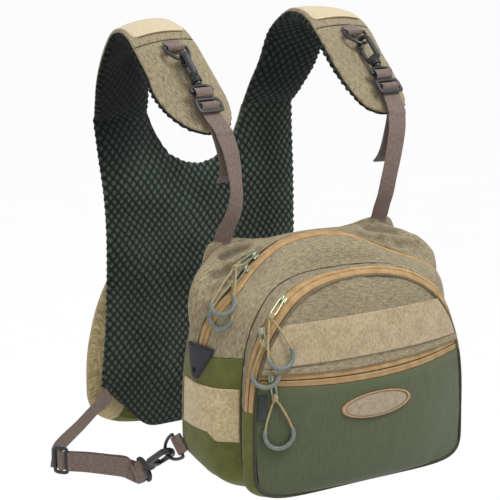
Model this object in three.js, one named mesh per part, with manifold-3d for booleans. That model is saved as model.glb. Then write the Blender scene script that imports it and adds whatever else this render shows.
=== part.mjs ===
// Chest pack with a padded yoke, shown as worn with nobody in it.
// Millimetres, +Z up, X across the chest, +Y towards the wearer's back.
// The shapes are sketched with Z = 0 at the height of the oval badge; the whole
// pack is then moved so that the origin is where the yoke sits on the shoulders.
import * as THREE from 'three';
import { mergeVertices } from 'three/addons/utils/BufferGeometryUtils.js';
import Module from 'manifold-3d';

const wasm = await Module();
wasm.setup();

// ------------------------------------------------------------ driving sizes
const SEAT = { y: 97, z: 345 };   // sketch place of the shoulder seat, the part's origin
const CLOTH = 1.8;                // sewn bag cloth
const TAPE = 1.4;                 // webbing thickness
const WEB = 20;                   // webbing width
const GAP = 0.5;                  // between neighbouring pieces
const PAD = { mid: 9.4, edge: 3.6 };  // foam and mesh of the yoke, thinner at its bound edge
const WIRE = 1.7;                 // ring wire radius
const RING = { reach: 19.5, half: 12.5, lift: 0.30 };  // bow and bar of a ring, and how far a shoulder ring stands off
const PANEL_INSET = 1.7;          // front panel inside the front zip's rim
const HOOK_TURN = 70;             // degrees the hook's flat is turned on its swivel

// Heights of the colour changes on the bag, sketch Z
const Z_OLIVE = 53, Z_BAND_TOP = 21, Z_BAND_LOW = -27, Z_FRONT_OLIVE = 5;
const POCKET = { top: 38, low: 24, riseTop: 4, riseLow: 6, halfWidth: 118 };
const BAND = { top: 86, low: 47 };

// Seams that run round the bag from the wall on the chest (s = 0) to the front panel (s = 6).
// half: half width, zWide: height of that width, zTop / zLow: crest and bottom,
// nTop / nLow: squareness of the upper and lower corners, y..: depth of the seam by angle.
const SEAMS = [
  { s: 0, half: 144, zWide: -18, zTop: 146,   zLow: -74, nTop: 2.60, nLow: 4.4, y90: -22,  y65: -22,  y45: -22,  y20: -22,  yN45: -22,  yN90: -22 },
  { s: 1, half: 147, zWide: -18, zTop: 150,   zLow: -79, nTop: 2.55, nLow: 4.6, y90: -27,  y65: -40,  y45: -64,  y20: -51,  yN45: -46,  yN90: -42 },
  { s: 2, half: 147, zWide: -18, zTop: 147.5, zLow: -82, nTop: 2.60, nLow: 4.8, y90: -40,  y65: -53,  y45: -77,  y20: -64,  yN45: -59,  yN90: -55 },
  { s: 3, half: 143, zWide: -18, zTop: 137,   zLow: -84, nTop: 2.80, nLow: 4.8, y90: -55,  y65: -69,  y45: -86,  y20: -80,  yN45: -78,  yN90: -75 },
  { s: 4, half: 127, zWide: -18, zTop: 121.5, zLow: -81, nTop: 3.60, nLow: 4.8, y90: -69,  y65: -85,  y45: -95,  y20: -97,  yN45: -97,  yN90: -93 },
  { s: 5, half: 132, zWide: -18, zTop: 125,   zLow: -84, nTop: 2.90, nLow: 7.4, y90: -92,  y65: -102, y45: -109, y20: -107.5, yN45: -111, yN90: -110 },
  { s: 6, half: 129, zWide: -18, zTop: 120, zLow: -84, nTop: 2.50, nLow: 7.4, y90: -106, y65: -113, y45: -119, y20: -118.5, yN45: -123, yN90: -127 },
];
const EAR = { out: 24, at: 54, spread: 19, lean: 57, fade: 1.0 };   // strap ears of the first seam: mm out, degrees
// How far the filled bag swells sideways and sags at its shoulders between the seams
const SWELL = [
  { s: 0, out: 0, at: 48, sag: 0 }, { s: 0.5, out: 29, at: 44, sag: 1 }, { s: 1, out: 16, at: 37, sag: 7 }, { s: 2, out: 12, at: 37, sag: 8 },
  { s: 3, out: 5, at: 37, sag: 4 }, { s: 4, out: 0, at: 37, sag: 0 }, { s: 6, out: 0, at: 37, sag: 0 },
];
const SWELL_AT = { outSpread: 18, sag: 63, sagSpread: 15 };     // degrees round the seam
// Depth of the front face along its middle
const FACE = [
  { z: -85, y: -128 }, { z: -75, y: -138 }, { z: -58, y: -144 }, { z: -30, y: -146.5 }, { z: 0, y: -145.5 },
  { z: 37, y: -138 }, { z: 60, y: -131.5 }, { z: 84, y: -125 }, { z: 100, y: -118 }, { z: 112, y: -111 }, { z: 120, y: -106 },
];
// Outer face of the shoulder arm from its tip over the shoulder to the back panel.
// x, y, z: middle of the arm; half: half width; dy, dz: inner edge less outer edge; crown: height of the middle.
const ARM = [
  { t: 0,  x: 108,   y: -28,  z: 260.5, half: 7,    dy: 0,  dz: 0,  crown: 1 },
  { t: 1,  x: 108,   y: -19,  z: 267,   half: 25,   dy: 0,  dz: 0,  crown: 4 },
  { t: 2,  x: 109,   y: -2,   z: 280,   half: 34,   dy: -5, dz: 3,  crown: 6.5 },
  { t: 3,  x: 110,   y: 19,   z: 297.5, half: 37,   dy: -2, dz: 7,  crown: 7 },
  { t: 4,  x: 109.5, y: 36.5, z: 314.5, half: 36,   dy: 3,  dz: 9,  crown: 7 },
  { t: 5,  x: 110,   y: 57,   z: 334,   half: 36,   dy: 0,  dz: 4,  crown: 6 },
  { t: 6,  x: 110,   y: 75,   z: 346,   half: 34,   dy: 0,  dz: 4,  crown: 5 },
  { t: 7,  x: 110,   y: 97,   z: 350.5, half: 31,   dy: 2,  dz: 6,  crown: 4 },
  { t: 8,  x: 110,   y: 119,  z: 345,   half: 30,   dy: 7,  dz: 10, crown: 3 },
  { t: 9,  x: 109,   y: 142,  z: 320,   half: 30.5, dy: 14, dz: 16, crown: 2 },
  { t: 10, x: 104.5, y: 153,  z: 292,   half: 32.5, dy: 10, dz: 6,  crown: 1 },
  { t: 11, x: 98.5,  y: 163,  z: 270,   half: 33,   dy: 6,  dz: 2,  crown: 0 },
  { t: 12, x: 93.5,  y: 174,  z: 246.8, half: 31.5, dy: 2,  dz: 0,  crown: 0 },
];
const ARM_ROWS = [0.1, 0.5, 1, 1.7, 2.4, 3.2, 4.1, 5, 5.6, 6.2, 6.8, 7.4, 8, 8.6, 9.3, 10.1, 11, 12];
const PATCH = { from: 8, to: 13, narrower: 1.2 };       // rows of the arm under the crest patch
// Back panel: face towards the wearer (y) and half width, by height
const BACK = [
  { z: -90, y: 157, half: 126 }, { z: -33, y: 156.5, half: 126 }, { z: 26, y: 155.5, half: 121 }, { z: 112, y: 154, half: 119 },
  { z: 164, y: 156, half: 120 }, { z: 214, y: 163, half: 123 }, { z: 246, y: 167, half: 125 },
];
// Lower and upper edge of the back panel by distance from its middle
const BACK_EDGE = [
  { x: 0, low: -89, top: 190 }, { x: 19, low: -89, top: 193.5 }, { x: 39, low: -89, top: 204 }, { x: 49, low: -89, top: 218 },
  { x: 57, low: -89, top: 233 }, { x: 62, low: -89, top: 246 }, { x: 74, low: -86, top: 246 }, { x: 90, low: -70, top: 246 },
  { x: 108, low: -53, top: 246 }, { x: 126, low: -33, top: 246 },
];
// Back pouch rings: d behind the back cloth
const POUCH = [
  { d: 0,  half: 122, zWide: -34, zTop: 134, zLow: -84, nTop: 2.2, nLow: 3.4 },
  { d: 9,  half: 134, zWide: -34, zTop: 140, zLow: -88, nTop: 2.2, nLow: 3.4 },
  { d: 20, half: 130, zWide: -34, zTop: 128, zLow: -84, nTop: 2.2, nLow: 3.2 },
  { d: 28, half: 112, zWide: -34, zTop: 100, zLow: -70, nTop: 2.2, nLow: 2.8 },
  { d: 31, half: 70,  zWide: -34, zTop: 50,  zLow: -55, nTop: 2.2, nLow: 2.4 },
];
// Chest strap from the bag's ear up to the slide, then its free tail behind it
const CHEST_RUN = [
  { x: 97, y: -23.6, z: 149.4 }, { x: 97, y: -24.4, z: 156 }, { x: 96, y: -28.5, z: 165 }, { x: 94.5, y: -36, z: 178 },
  { x: 94, y: -41.5, z: 195 }, { x: 96, y: -44.5, z: 213 }, { x: 99, y: -45, z: 230 }, { x: 102.5, y: -43.5, z: 247 }, { x: 106.5, y: -37.5, z: 264 },
];
const CHEST_TAIL = [
  { x: 108.5, y: -31.5, z: 266 }, { x: 106, y: -34.5, z: 257 }, { x: 102, y: -35.5, z: 243 }, { x: 98.7, y: -35, z: 230 }, { x: 96.8, y: -31.5, z: 219 }, { x: 95.8, y: -25, z: 211 },
];
// Waist strap from the back panel's lower corner out to its slide
const WAIST_RUN = [
  { x: 118.4, y: 159, z: -44.4, wx: -0.66, wz: 0.75 }, { x: 134, y: 157.5, z: -55, wx: -0.6, wz: 0.8 }, { x: 160, y: 151, z: -70, wx: -0.45, wz: 0.9 },
  { x: 184, y: 141, z: -79, wx: -0.25, wz: 0.97 }, { x: 201, y: 132, z: -85, wx: -0.1, wz: 1 }, { x: 209, y: 124, z: -88, wx: 0, wz: 1 },
];
const WAIST = {
  bar: [146.5, -16, -50],           // ring bar at the bag's lower rear corner
  pull: [0.19, 0.78, -0.60],       // the way the waist hook hangs
  glide: [205.5, 112, -88.5],      // middle of the waist slide
};
const ARM_RING = { y: 49.9, z: 327.85, x: 110, up: 12, slopeY: -0.698, slopeZ: -0.716 };

// Snap hook, along its length from the nose
const HOOK = {
  radius: 9, bar: 4.6, spine: 27, block: 33, collar: 38, collarRadius: 5.4, flat: 6.6,
  tip: 12.8, gateRoot: 24.7, gateHalf: 1.7, gateFlat: 5.4, gateMid: -6.9,
  eyeFrom: 38.4, eyeRing: 40.6, eyeSlot: 44.2, eyeBar: 48.2, eyeEnd: 51.4, eyeHalf: 13.8, eyeFlat: 4.6, bossRadius: 3.8,
};
const GLIDE = { half: 15, reach: 9.3, slotHalf: 10.7, slotFrom: 1.4, slotTo: 5.6, flat: 2.4, wave: 3.0, at: 66 };

// Zip pulls as they hang: slider on its zip, the way out of the cloth there, cord knot, and the grip's two ends and lowest point
const PULLS = [
  { name: 'main_pull_upper',  slider: [-70.7, -38.6, 134.7],  out: [-0.20, -0.50, 0.85], knot: [-105.8, -57.1, 132.4], rear: [-142.7, -71.1, 106.1], low: [-143.7, -82.8, 96.9],  fore: [-127, -83.8, 112.4] },
  { name: 'main_pull_lower',  slider: [-87.3, -48.8, 125.4],  out: [-0.24, -0.35, 0.90], knot: [-116.1, -67.5, 119.8], rear: [-141.6, -66.3, 96.2],  low: [-142.7, -78, 82.1],    fore: [-133.8, -92.1, 92.5] },
  { name: 'front_pull_upper', slider: [-85.5, -107.7, 107.2], out: [-0.35, -0.52, 0.78], knot: [-107.3, -118, 96.1],   rear: [-117.9, -129, 59.7],   low: [-105.2, -134.2, 49],   fore: [-92, -130.1, 67] },
  { name: 'front_pull_lower', slider: [-111.9, -111.3, 81], out: [-0.65, -0.66, 0.38], knot: [-115.7, -119.1, 70.3], rear: [-127.6, -116.4, 43.2], low: [-119.6, -127.2, 31.2], fore: [-106.3, -130.6, 43.7] },
  { name: 'pocket_pull',      slider: [-110.1, -122.8, 37.1], out: [-0.32, -0.94, 0.13], knot: [-109.4, -128.5, 18.4], rear: [-119.3, -127, -11],    low: [-107.3, -132.3, -29.8], fore: [-95.1, -136.5, -9.9] },
];
const PULL = { sliderLong: 9, sliderWide: 7.5, sliderHigh: 4.2, lift: 3.1, tabWide: 5, tabThick: 1.6, knot: 2, cord: 0.9, grip: 2.4 };

const COLOURS = {
  khaki: [0x968769, 0.95, 0], tan: [0xbca67f, 0.95, 0], olive: [0x5f6437, 0.9, 0], green: [0x5a624b, 0.9, 0],
  zip: [0xaf875a, 0.8, 0], mesh: [0x2d3734, 1, 0], webbing: [0x7d6962, 0.9, 0], plastic: [0x3c3c44, 0.5, 0],
  metal: [0xaaaf96, 0.4, 0.8], rubber: [0x32303a, 0.8, 0], cord: [0xa59669, 0.9, 0], grip: [0x78828a, 0.6, 0],
};

// ------------------------------------------------------------ small helpers
const rad = THREE.MathUtils.degToRad;
const V = (x, y, z) => new THREE.Vector3(x, y, z);
const mix = THREE.MathUtils.lerp;

// Smooth values of every numeric column of a table at a place along one column
function through(rows, key, at) {
  const n = rows.length;
  let i = 0;
  while (i < n - 2 && at > rows[i + 1][key]) i++;
  const a = rows[i], b = rows[i + 1], h = b[key] - a[key];
  const t = Math.min(1, Math.max(0, (at - a[key]) / h)), t2 = t * t, t3 = t2 * t;
  const slope = (k, c) => {
    const p = rows[Math.max(0, k - 1)], q = rows[Math.min(n - 1, k + 1)];
    return (q[c] - p[c]) / (q[key] - p[key]);
  };
  const out = {};
  for (const c of Object.keys(a)) {
    out[c] = (2 * t3 - 3 * t2 + 1) * a[c] + (t3 - 2 * t2 + t) * slope(i, c) * h
      + (-2 * t3 + 3 * t2) * b[c] + (t3 - t2) * slope(i + 1, c) * h;
  }
  return out;
}

// A closed body from its vertices and faces, turned to face outwards
function body(points, faces) {
  let volume = 0;
  for (const [a, b, c] of faces) volume += points[a].dot(points[b].clone().cross(points[c]));
  const index = [];
  for (const [a, b, c] of faces) volume > 0 ? index.push(a, b, c) : index.push(a, c, b);
  const g = new THREE.BufferGeometry().setFromPoints(points);
  g.setIndex(index);
  g.computeVertexNormals();
  return g;
}

// A wall between two sheets given on the same (n + 1) x (m + 1) grid
function wall(n, m, outer, inner) {
  const points = [], faces = [], at = (k, i, j) => (k * (n + 1) + i) * (m + 1) + j;
  for (const sheet of [outer, inner])
    for (let i = 0; i <= n; i++) for (let j = 0; j <= m; j++) points.push(sheet(i, j));
  const quad = (a, b, c, d) => faces.push([a, b, c], [a, c, d]);
  for (let i = 0; i < n; i++) for (let j = 0; j < m; j++) {
    quad(at(0, i, j), at(0, i + 1, j), at(0, i + 1, j + 1), at(0, i, j + 1));
    quad(at(1, i, j), at(1, i, j + 1), at(1, i + 1, j + 1), at(1, i + 1, j));
  }
  for (let i = 0; i < n; i++) {
    quad(at(0, i, 0), at(1, i, 0), at(1, i + 1, 0), at(0, i + 1, 0));
    quad(at(0, i, m), at(0, i + 1, m), at(1, i + 1, m), at(1, i, m));
  }
  for (let j = 0; j < m; j++) {
    quad(at(0, 0, j), at(0, 0, j + 1), at(1, 0, j + 1), at(1, 0, j));
    quad(at(0, n, j), at(1, n, j), at(1, n, j + 1), at(0, n, j + 1));
  }
  return body(points, faces);
}

// A wall over a grid of surface places: pulled in by half a gap at its edges, thickened from lift - thick to lift
function surfaceWall(n, m, place, surface, normal, thick, lift = 0, round = () => 1) {
  const base = [], out = [];
  for (let i = 0; i <= n; i++) {
    base.push([]); out.push([]);
    for (let j = 0; j <= m; j++) {
      const q = place(i / n, j / m);
      base[i].push(surface(...q)); out[i].push(normal(...q));
    }
  }
  const trim = (p, towards) => p.clone().add(towards.clone().sub(p).setLength(GAP / 2));
  const cut = base.map((row, i) => row.map((p, j) => {
    let q = p.clone();
    if (i === 0) q = trim(q, base[1][j]); if (i === n) q = trim(q, base[n - 1][j]);
    if (j === 0) q = trim(q, base[i][1]); if (j === m) q = trim(q, base[i][m - 1]);
    return q;
  }));
  return wall(n, m, (i, j) => cut[i][j].clone().addScaledVector(out[i][j], lift),
    (i, j) => cut[i][j].clone().addScaledVector(out[i][j], lift - thick * round(i / n, j / m)));
}
// Share of a pad's full thickness across its width: 0 and 1 are its bound edges
const padRound = (j) => mix(PAD.edge / PAD.mid, 1, Math.sqrt(1 - Math.abs(2 * j - 1) ** 3));

// Rings of equal count joined into one body, closed on itself or capped
function skin(rings, loop = false) {
  const k = rings[0].length, n = rings.length, points = rings.flat(), faces = [];
  for (let i = 0; i < (loop ? n : n - 1); i++) for (let j = 0; j < k; j++) {
    const a = i * k + j, b = i * k + (j + 1) % k, c = ((i + 1) % n) * k + (j + 1) % k, d = ((i + 1) % n) * k + j;
    faces.push([a, b, c], [a, c, d]);
  }
  if (!loop) for (let j = 1; j < k - 1; j++) {
    faces.push([0, j + 1, j]);
    faces.push([(n - 1) * k, (n - 1) * k + j, (n - 1) * k + j + 1]);
  }
  return body(points, faces);
}

// Flat strip of webbing along a path, with the way its width lies at each point
function ribbon(path, across, width = WEB, thick = TAPE) {
  const n = path.length;
  const rings = path.map((p, i) => {
    const t = path[Math.min(n - 1, i + 1)].clone().sub(path[Math.max(0, i - 1)]).normalize();
    const w = across[i].clone().addScaledVector(t, -across[i].dot(t)).normalize();
    const h = t.clone().cross(w);
    return [[1, 1], [-1, 1], [-1, -1], [1, -1]].map(([u, v]) =>
      p.clone().addScaledVector(w, u * width / 2).addScaledVector(h, v * thick / 2));
  });
  return skin(rings);
}

// Round bar along a path
function rod(path, radius, sides, loop = false, lead = V(0.31, 0.2, 0.93)) {
  const n = path.length;
  const at = (i) => path[loop ? (i + n) % n : Math.min(n - 1, Math.max(0, i))];
  const rings = path.map((p, i) => {
    const t = at(i + 1).clone().sub(at(i - 1)).normalize();
    const u = lead.clone().addScaledVector(t, -lead.dot(t)).normalize(), w = t.clone().cross(u);
    return Array.from({ length: sides }, (_, k) => {
      const q = 2 * Math.PI * k / sides;
      return p.clone().addScaledVector(u, radius * Math.cos(q)).addScaledVector(w, radius * Math.sin(q));
    });
  });
  return skin(rings, loop);
}

// Points of a smooth curve through a few places
const spline = (points, count, tension = 0.5) =>
  new THREE.CatmullRomCurve3(points, false, 'catmullrom', tension).getSpacedPoints(count);

// A flat outline, extruded and then carried point by point to its place
function plate(shape, depth, carry, curveSegments = 5) {
  const g = new THREE.ExtrudeGeometry(shape, { depth, bevelEnabled: false, curveSegments });
  g.deleteAttribute('normal'); g.deleteAttribute('uv');
  const m = mergeVertices(g, 1e-4), pos = m.getAttribute('position'), points = [], faces = [];
  for (let i = 0; i < pos.count; i++) points.push(carry(pos.getX(i), pos.getY(i), pos.getZ(i)));
  for (let i = 0; i < m.index.count; i += 3) faces.push([m.index.getX(i), m.index.getX(i + 1), m.index.getX(i + 2)]);
  return body(points, faces);
}

const toSolid = (g) => {
  const bare = new THREE.BufferGeometry().setAttribute('position', g.getAttribute('position'));
  bare.setIndex(g.index);
  const m = mergeVertices(bare, 1e-4);
  return new wasm.Manifold(new wasm.Mesh({ numProp: 3, vertProperties: new Float32Array(m.getAttribute('position').array), triVerts: new Uint32Array(m.index.array) }));
};
const fromSolid = (s) => {
  const m = s.getMesh(), g = new THREE.BufferGeometry();
  g.setAttribute('position', new THREE.BufferAttribute(new Float32Array(m.vertProperties), 3));
  g.setIndex(Array.from(m.triVerts));
  g.computeVertexNormals();
  return g;
};
const join = (...parts) => fromSolid(parts.map(toSolid).reduce((a, b) => a.add(b)));

// Local frame: origin and the three ways a (along), b (across), h (out)
function frame(origin, a, b) {
  const A = a.clone().normalize(), B = b.clone().addScaledVector(A, -b.dot(A)).normalize(), H = A.clone().cross(B);
  const f = (p, q, r) => origin.clone().addScaledVector(A, p).addScaledVector(B, q).addScaledVector(H, r);
  return Object.assign(f, { origin, A, B, H });
}

// ------------------------------------------------------------ the bag's skin
const seamAt = (s) => through(SEAMS, 's', s);

// Point of a seam at an angle: -90 bottom, 0 widest, 90 crest on +X; past either end it goes on along -X
function loopPoint(st, phi) {
  const side = phi > 90 || phi < -90 ? -1 : 1;
  const q = phi > 90 ? 180 - phi : phi < -90 ? -180 - phi : phi;
  const c = Math.max(0, Math.cos(rad(q))), s = Math.sin(rad(q));
  const n = s >= 0 ? st.nTop : st.nLow, reach = s >= 0 ? st.zTop - st.zWide : st.zWide - st.zLow;
  return V(side * st.half * Math.pow(c, 2 / n), seamDepth(st, q), st.zWide + Math.sign(s) * reach * Math.pow(Math.abs(s), 2 / n));
}
function seamDepth(st, q) {
  const rows = [{ q: -90, y: st.yN90 }, { q: -45, y: st.yN45 }, { q: 20, y: st.y20 }, { q: 45, y: st.y45 }, { q: 65, y: st.y65 }, { q: 90, y: st.y90 }];
  return through(rows, 'q', q).y;
}
// Angle at which a seam is at a height
function angleAt(st, z) {
  const up = z >= st.zWide, f = up ? (z - st.zWide) / (st.zTop - st.zWide) : (st.zWide - z) / (st.zWide - st.zLow);
  const q = THREE.MathUtils.radToDeg(Math.asin(Math.min(1, Math.pow(Math.abs(f), (up ? st.nTop : st.nLow) / 2))));
  return up ? q : -q;
}
function bagPoint(s, phi) {
  const p = loopPoint(seamAt(Math.min(6, Math.max(0, s))), phi);
  const q = phi > 90 ? 180 - phi : phi < -90 ? -180 - phi : phi;
  const ear = EAR.out * Math.pow(Math.max(0, 1 - s), EAR.fade) * Math.exp(-(((q - EAR.at) / EAR.spread) ** 2));
  const swell = through(SWELL, 's', Math.min(6, Math.max(0, s)));
  const out = swell.out * Math.exp(-(((q - swell.at) / SWELL_AT.outSpread) ** 2)), sag = swell.sag * Math.exp(-(((q - SWELL_AT.sag) / SWELL_AT.sagSpread) ** 2));
  return p.add(V(Math.sign(p.x) * (ear * Math.cos(rad(EAR.lean)) + out), 0, ear * Math.sin(rad(EAR.lean)) - sag));
}
function bagNormal(s, phi) {
  const ds = 0.06, dp = 1.2;
  const along = bagPoint(s + ds, phi).sub(bagPoint(s - ds, phi));
  const round = bagPoint(s, phi + dp).sub(bagPoint(s, phi - dp));
  const n = round.cross(along).normalize();
  const p = bagPoint(s, phi);
  if (s < 0.02) n.setY(0).normalize();       // square to the wall on the chest
  return n.dot(V(p.x, 0, p.z - 25)) < 0 ? n.negate() : n;
}
// Angles spread evenly along a seam rather than evenly by angle
function evenAngles(st, from, to, count) {
  const fine = 120, pts = [], len = [0];
  for (let i = 0; i <= fine; i++) pts.push(loopPoint(st, mix(from, to, i / fine)));
  for (let i = 1; i <= fine; i++) len.push(len[i - 1] + pts[i].distanceTo(pts[i - 1]));
  return Array.from({ length: count + 1 }, (_, k) => {
    const want = len[fine] * k / count;
    let i = 1;
    while (i < fine && len[i] < want) i++;
    return mix(from, to, (i - 1 + (want - len[i - 1]) / (len[i] - len[i - 1])) / fine);
  });
}
// A run of bag cloth from seam sa to sb, and from one height on +X, over the crest or under the bottom, to the same height on -X
function bagRun(sa, sb, z, over, ns, nphi, thick = CLOTH, lift = 0) {
  const rows = Array.from({ length: ns + 1 }, (_, i) => {
    const st = seamAt(mix(sa, sb, i / ns)), q = angleAt(st, z);
    return evenAngles(st, q, over ? 180 - q : -180 - q, nphi);
  });
  return surfaceWall(ns, nphi, (i, j) => [mix(sa, sb, i), rows[Math.round(i * ns)][Math.round(j * nphi)]], bagPoint, bagNormal, thick, lift);
}
// A patch of bag cloth on one side between two heights
function bagPatch(side, sa, sb, z0, z1, ns, nz, thick, lift) {
  const turn = (q) => side > 0 ? q : 180 - q;
  return surfaceWall(ns, nz, (i, j) => { const k = Math.round(i * ns), s = k === 0 ? sa : k === ns ? sb : k; return [s, turn(angleAt(seamAt(s), mix(z0, z1, j)))]; }, bagPoint, bagNormal, thick, lift);
}

// ------------------------------------------------------------ the front face
const RIM = (() => { const r = { ...seamAt(6) }; r.half -= PANEL_INSET; r.zTop -= PANEL_INSET; r.zLow += PANEL_INSET; return r; })();
const rimHalf = (z) => {
  const up = z >= RIM.zWide, f = Math.min(1, up ? (z - RIM.zWide) / (RIM.zTop - RIM.zWide) : (RIM.zWide - z) / (RIM.zWide - RIM.zLow));
  const n = up ? RIM.nTop : RIM.nLow;
  return RIM.half * Math.pow(Math.max(0, 1 - Math.pow(f, n)), 1 / n);
};
const rimTop = (x) => RIM.zWide + (RIM.zTop - RIM.zWide) * Math.pow(1 - Math.pow(Math.abs(x) / RIM.half, RIM.nTop), 1 / RIM.nTop);
const rimLow = (x) => RIM.zWide - (RIM.zWide - RIM.zLow) * Math.pow(1 - Math.pow(Math.abs(x) / RIM.half, RIM.nLow), 1 / RIM.nLow);
function facePoint(x, z) {
  const half = Math.max(1, rimHalf(z)), edge = seamDepth(RIM, angleAt(RIM, z)), mid = through(FACE, 'z', z).y;
  const u = Math.min(1, Math.abs(x) / half);
  return V(x, edge + (mid - edge) * (1 - Math.pow(u, 2.2)) - GAP, z);
}
function faceNormal(x, z) {
  const d = 1.5, keep = Math.max(-0.97 * rimHalf(z), Math.min(0.97 * rimHalf(z), x));
  const across = facePoint(keep + d, z).sub(facePoint(keep - d, z)), up = facePoint(keep, z + d).sub(facePoint(keep, z - d));
  const n = across.cross(up).normalize();
  return n.y > 0 ? n.negate() : n;
}
const pocketTop = (x) => POCKET.top + POCKET.riseTop * (x / POCKET.halfWidth) ** 2;
const pocketLow = (x) => POCKET.low + POCKET.riseLow * (x / POCKET.halfWidth) ** 2;
const spread = (reach, j) => reach * Math.sin((2 * j - 1) * Math.PI / 2);     // columns closer together near the edges
function facePiece(reach, low, top, nx, nz, thick = CLOTH, lift = 0) {
  return surfaceWall(nx, nz, (i, j) => { const x = spread(reach, i); return [x, mix(low(x), top(x), j)]; }, facePoint, faceNormal, thick, lift);
}
const reachAt = (z) => rimHalf(z) - 0.8;

// ------------------------------------------------------------ the yoke
function armBase(side, t, w) {
  const r = through(ARM, 't', t);
  return V(side * (r.x - r.half * w), r.y + r.dy / 2 * w, r.z + r.dz / 2 * w);
}
function armNormal(side, t, w) {
  const along = armBase(side, t + 0.1, w).sub(armBase(side, t - 0.1, w)), across = armBase(side, t, w + 0.05).sub(armBase(side, t, w - 0.05));
  const n = along.cross(across).normalize();
  if (t > 11.9) return V(0, 1, 0);           // meets the back panel square
  const out = armBase(side, t, w).sub(V(side * 108, 70, 230));
  return n.dot(out) < 0 ? n.negate() : n;
}
const armFace = (side, t, w) => armBase(side, t, w).addScaledVector(armNormal(side, t, w), through(ARM, 't', t).crown * (1 - w * w));
const armWall = (side, from, to, narrower, m, thick, lift, round) => surfaceWall(to - from, m, (i, j) => {
  const t = ARM_ROWS[from + Math.round(i * (to - from))], half = through(ARM, 't', t).half;
  return [t, (2 * j - 1) * (half - narrower) / half];
}, (t, w) => armFace(side, t, w), (t, w) => armNormal(side, t, w), thick, lift, round);

const backAt = (z) => through(BACK, 'z', z);
function backWall(rows, front, rear, trim) {
  const knots = BACK_EDGE, n = 2 * (knots.length - 1);
  const grid = (i, j, deep) => {
    const k = i - (knots.length - 1), e = knots[Math.abs(k)];
    const z = mix(e.low + trim, e.top - trim, j / rows), b = backAt(z);
    return V(Math.sign(k) * (e.x / 126) * (b.half - trim), b.y + deep, z);
  };
  return wall(n, rows, (i, j) => grid(i, j, front(i / n, j / rows)), (i, j) => grid(i, j, rear));
}
const BACK_BED = 5;                       // from the pad's bound edge back to its rear face
const BACK_REAR = BACK_BED + GAP + 0.2 + CLOTH; // and to the rear of the back cloth
const backPuff = (i, j) => BACK_BED - PAD.mid * padRound(i) * mix(0.45, 1, Math.sqrt(1 - Math.abs(2 * j - 1) ** 3));

function pouchWall(count) {
  const ring = (p, shrink, lower) => Array.from({ length: count }, (_, k) => {
    const q = 360 * k / count, phi = q <= 90 ? q : q <= 270 ? 180 - q : q - 360, side = q > 90 && q < 270 ? -1 : 1;
    const c = Math.max(0, Math.cos(rad(phi))), s = Math.sin(rad(phi)), n = s >= 0 ? p.nTop : p.nLow;
    const reach = s >= 0 ? p.zTop - p.zWide : p.zWide - p.zLow;
    const x = side * (p.half - shrink) * Math.pow(c, 2 / n), z = p.zWide + Math.sign(s) * (reach - shrink) * Math.pow(Math.abs(s), 2 / n);
    return V(x, backAt(z).y + BACK_REAR + GAP + 0.3 + p.d - lower, z);
  });
  const outer = POUCH.map((p) => ring(p, 0, 0)), inner = POUCH.map((p, i) => ring(p, i === 0 ? CLOTH : 1.3, i === 0 ? 0 : 1.5));
  const points = [...outer.flat(), ...inner.flat()], faces = [], n = POUCH.length, half = n * count;
  const top = points.length, z = POUCH[0].zWide;
  points.push(V(0, backAt(z).y + BACK_REAR + GAP + POUCH[n - 1].d + 0.6, z), V(0, backAt(z).y + BACK_REAR + GAP + POUCH[n - 1].d - 1.2, z));
  for (let k = 0; k < count; k++) {
    const l = (k + 1) % count;
    for (let i = 0; i < n - 1; i++) for (const [o, flip] of [[0, false], [half, true]]) {
      const a = o + i * count + k, b = o + i * count + l, c = o + (i + 1) * count + l, d = o + (i + 1) * count + k;
      flip ? faces.push([a, c, b], [a, d, c]) : faces.push([a, b, c], [a, c, d]);
    }
    faces.push([(n - 1) * count + k, (n - 1) * count + l, top], [half + (n - 1) * count + l, half + (n - 1) * count + k, top + 1]);
    faces.push([l, k, half + k], [l, half + k, half + l]);
  }
  return body(points, faces);
}

// ------------------------------------------------------------ hardware
// Wire ring with a straight bar at the frame's origin and a bow at its far end
function wireRing(f, lift, reach = RING.reach, half = RING.half) {
  const path = [];
  for (let k = 0; k < 4; k++) path.push(f(0, mix(-half, half, k / 4), 0));
  for (let k = 0; k < 11; k++) {
    const q = Math.PI * k / 11;
    path.push(f(reach * Math.sin(q), half * Math.cos(q), lift * reach * Math.sin(q)));
  }
  return rod(path, WIRE, 6, true, f.H);
}
// Webbing folded round the ring's bar and sewn back on itself
function foldedLoop(f, reach, drop, start) {
  const r = WIRE + GAP + TAPE / 2 + 0.3, path = [];
  path.push(f(-reach, 0, drop - 1.0), f(-reach * 0.55, 0, mix(drop, 0, 0.35) - 1.1));
  for (let k = 0; k <= 6; k++) { const q = -Math.PI / 2 + Math.PI * k / 6; path.push(f(r * Math.cos(q), 0, r * Math.sin(q))); }
  path.push(f(-reach * 0.55, 0, mix(drop, 0, 0.35) + 1.1), f(-reach, 0, drop + 1.0));
  return ribbon(path, path.map(() => f.B), WEB - 1, TAPE);
}
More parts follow.
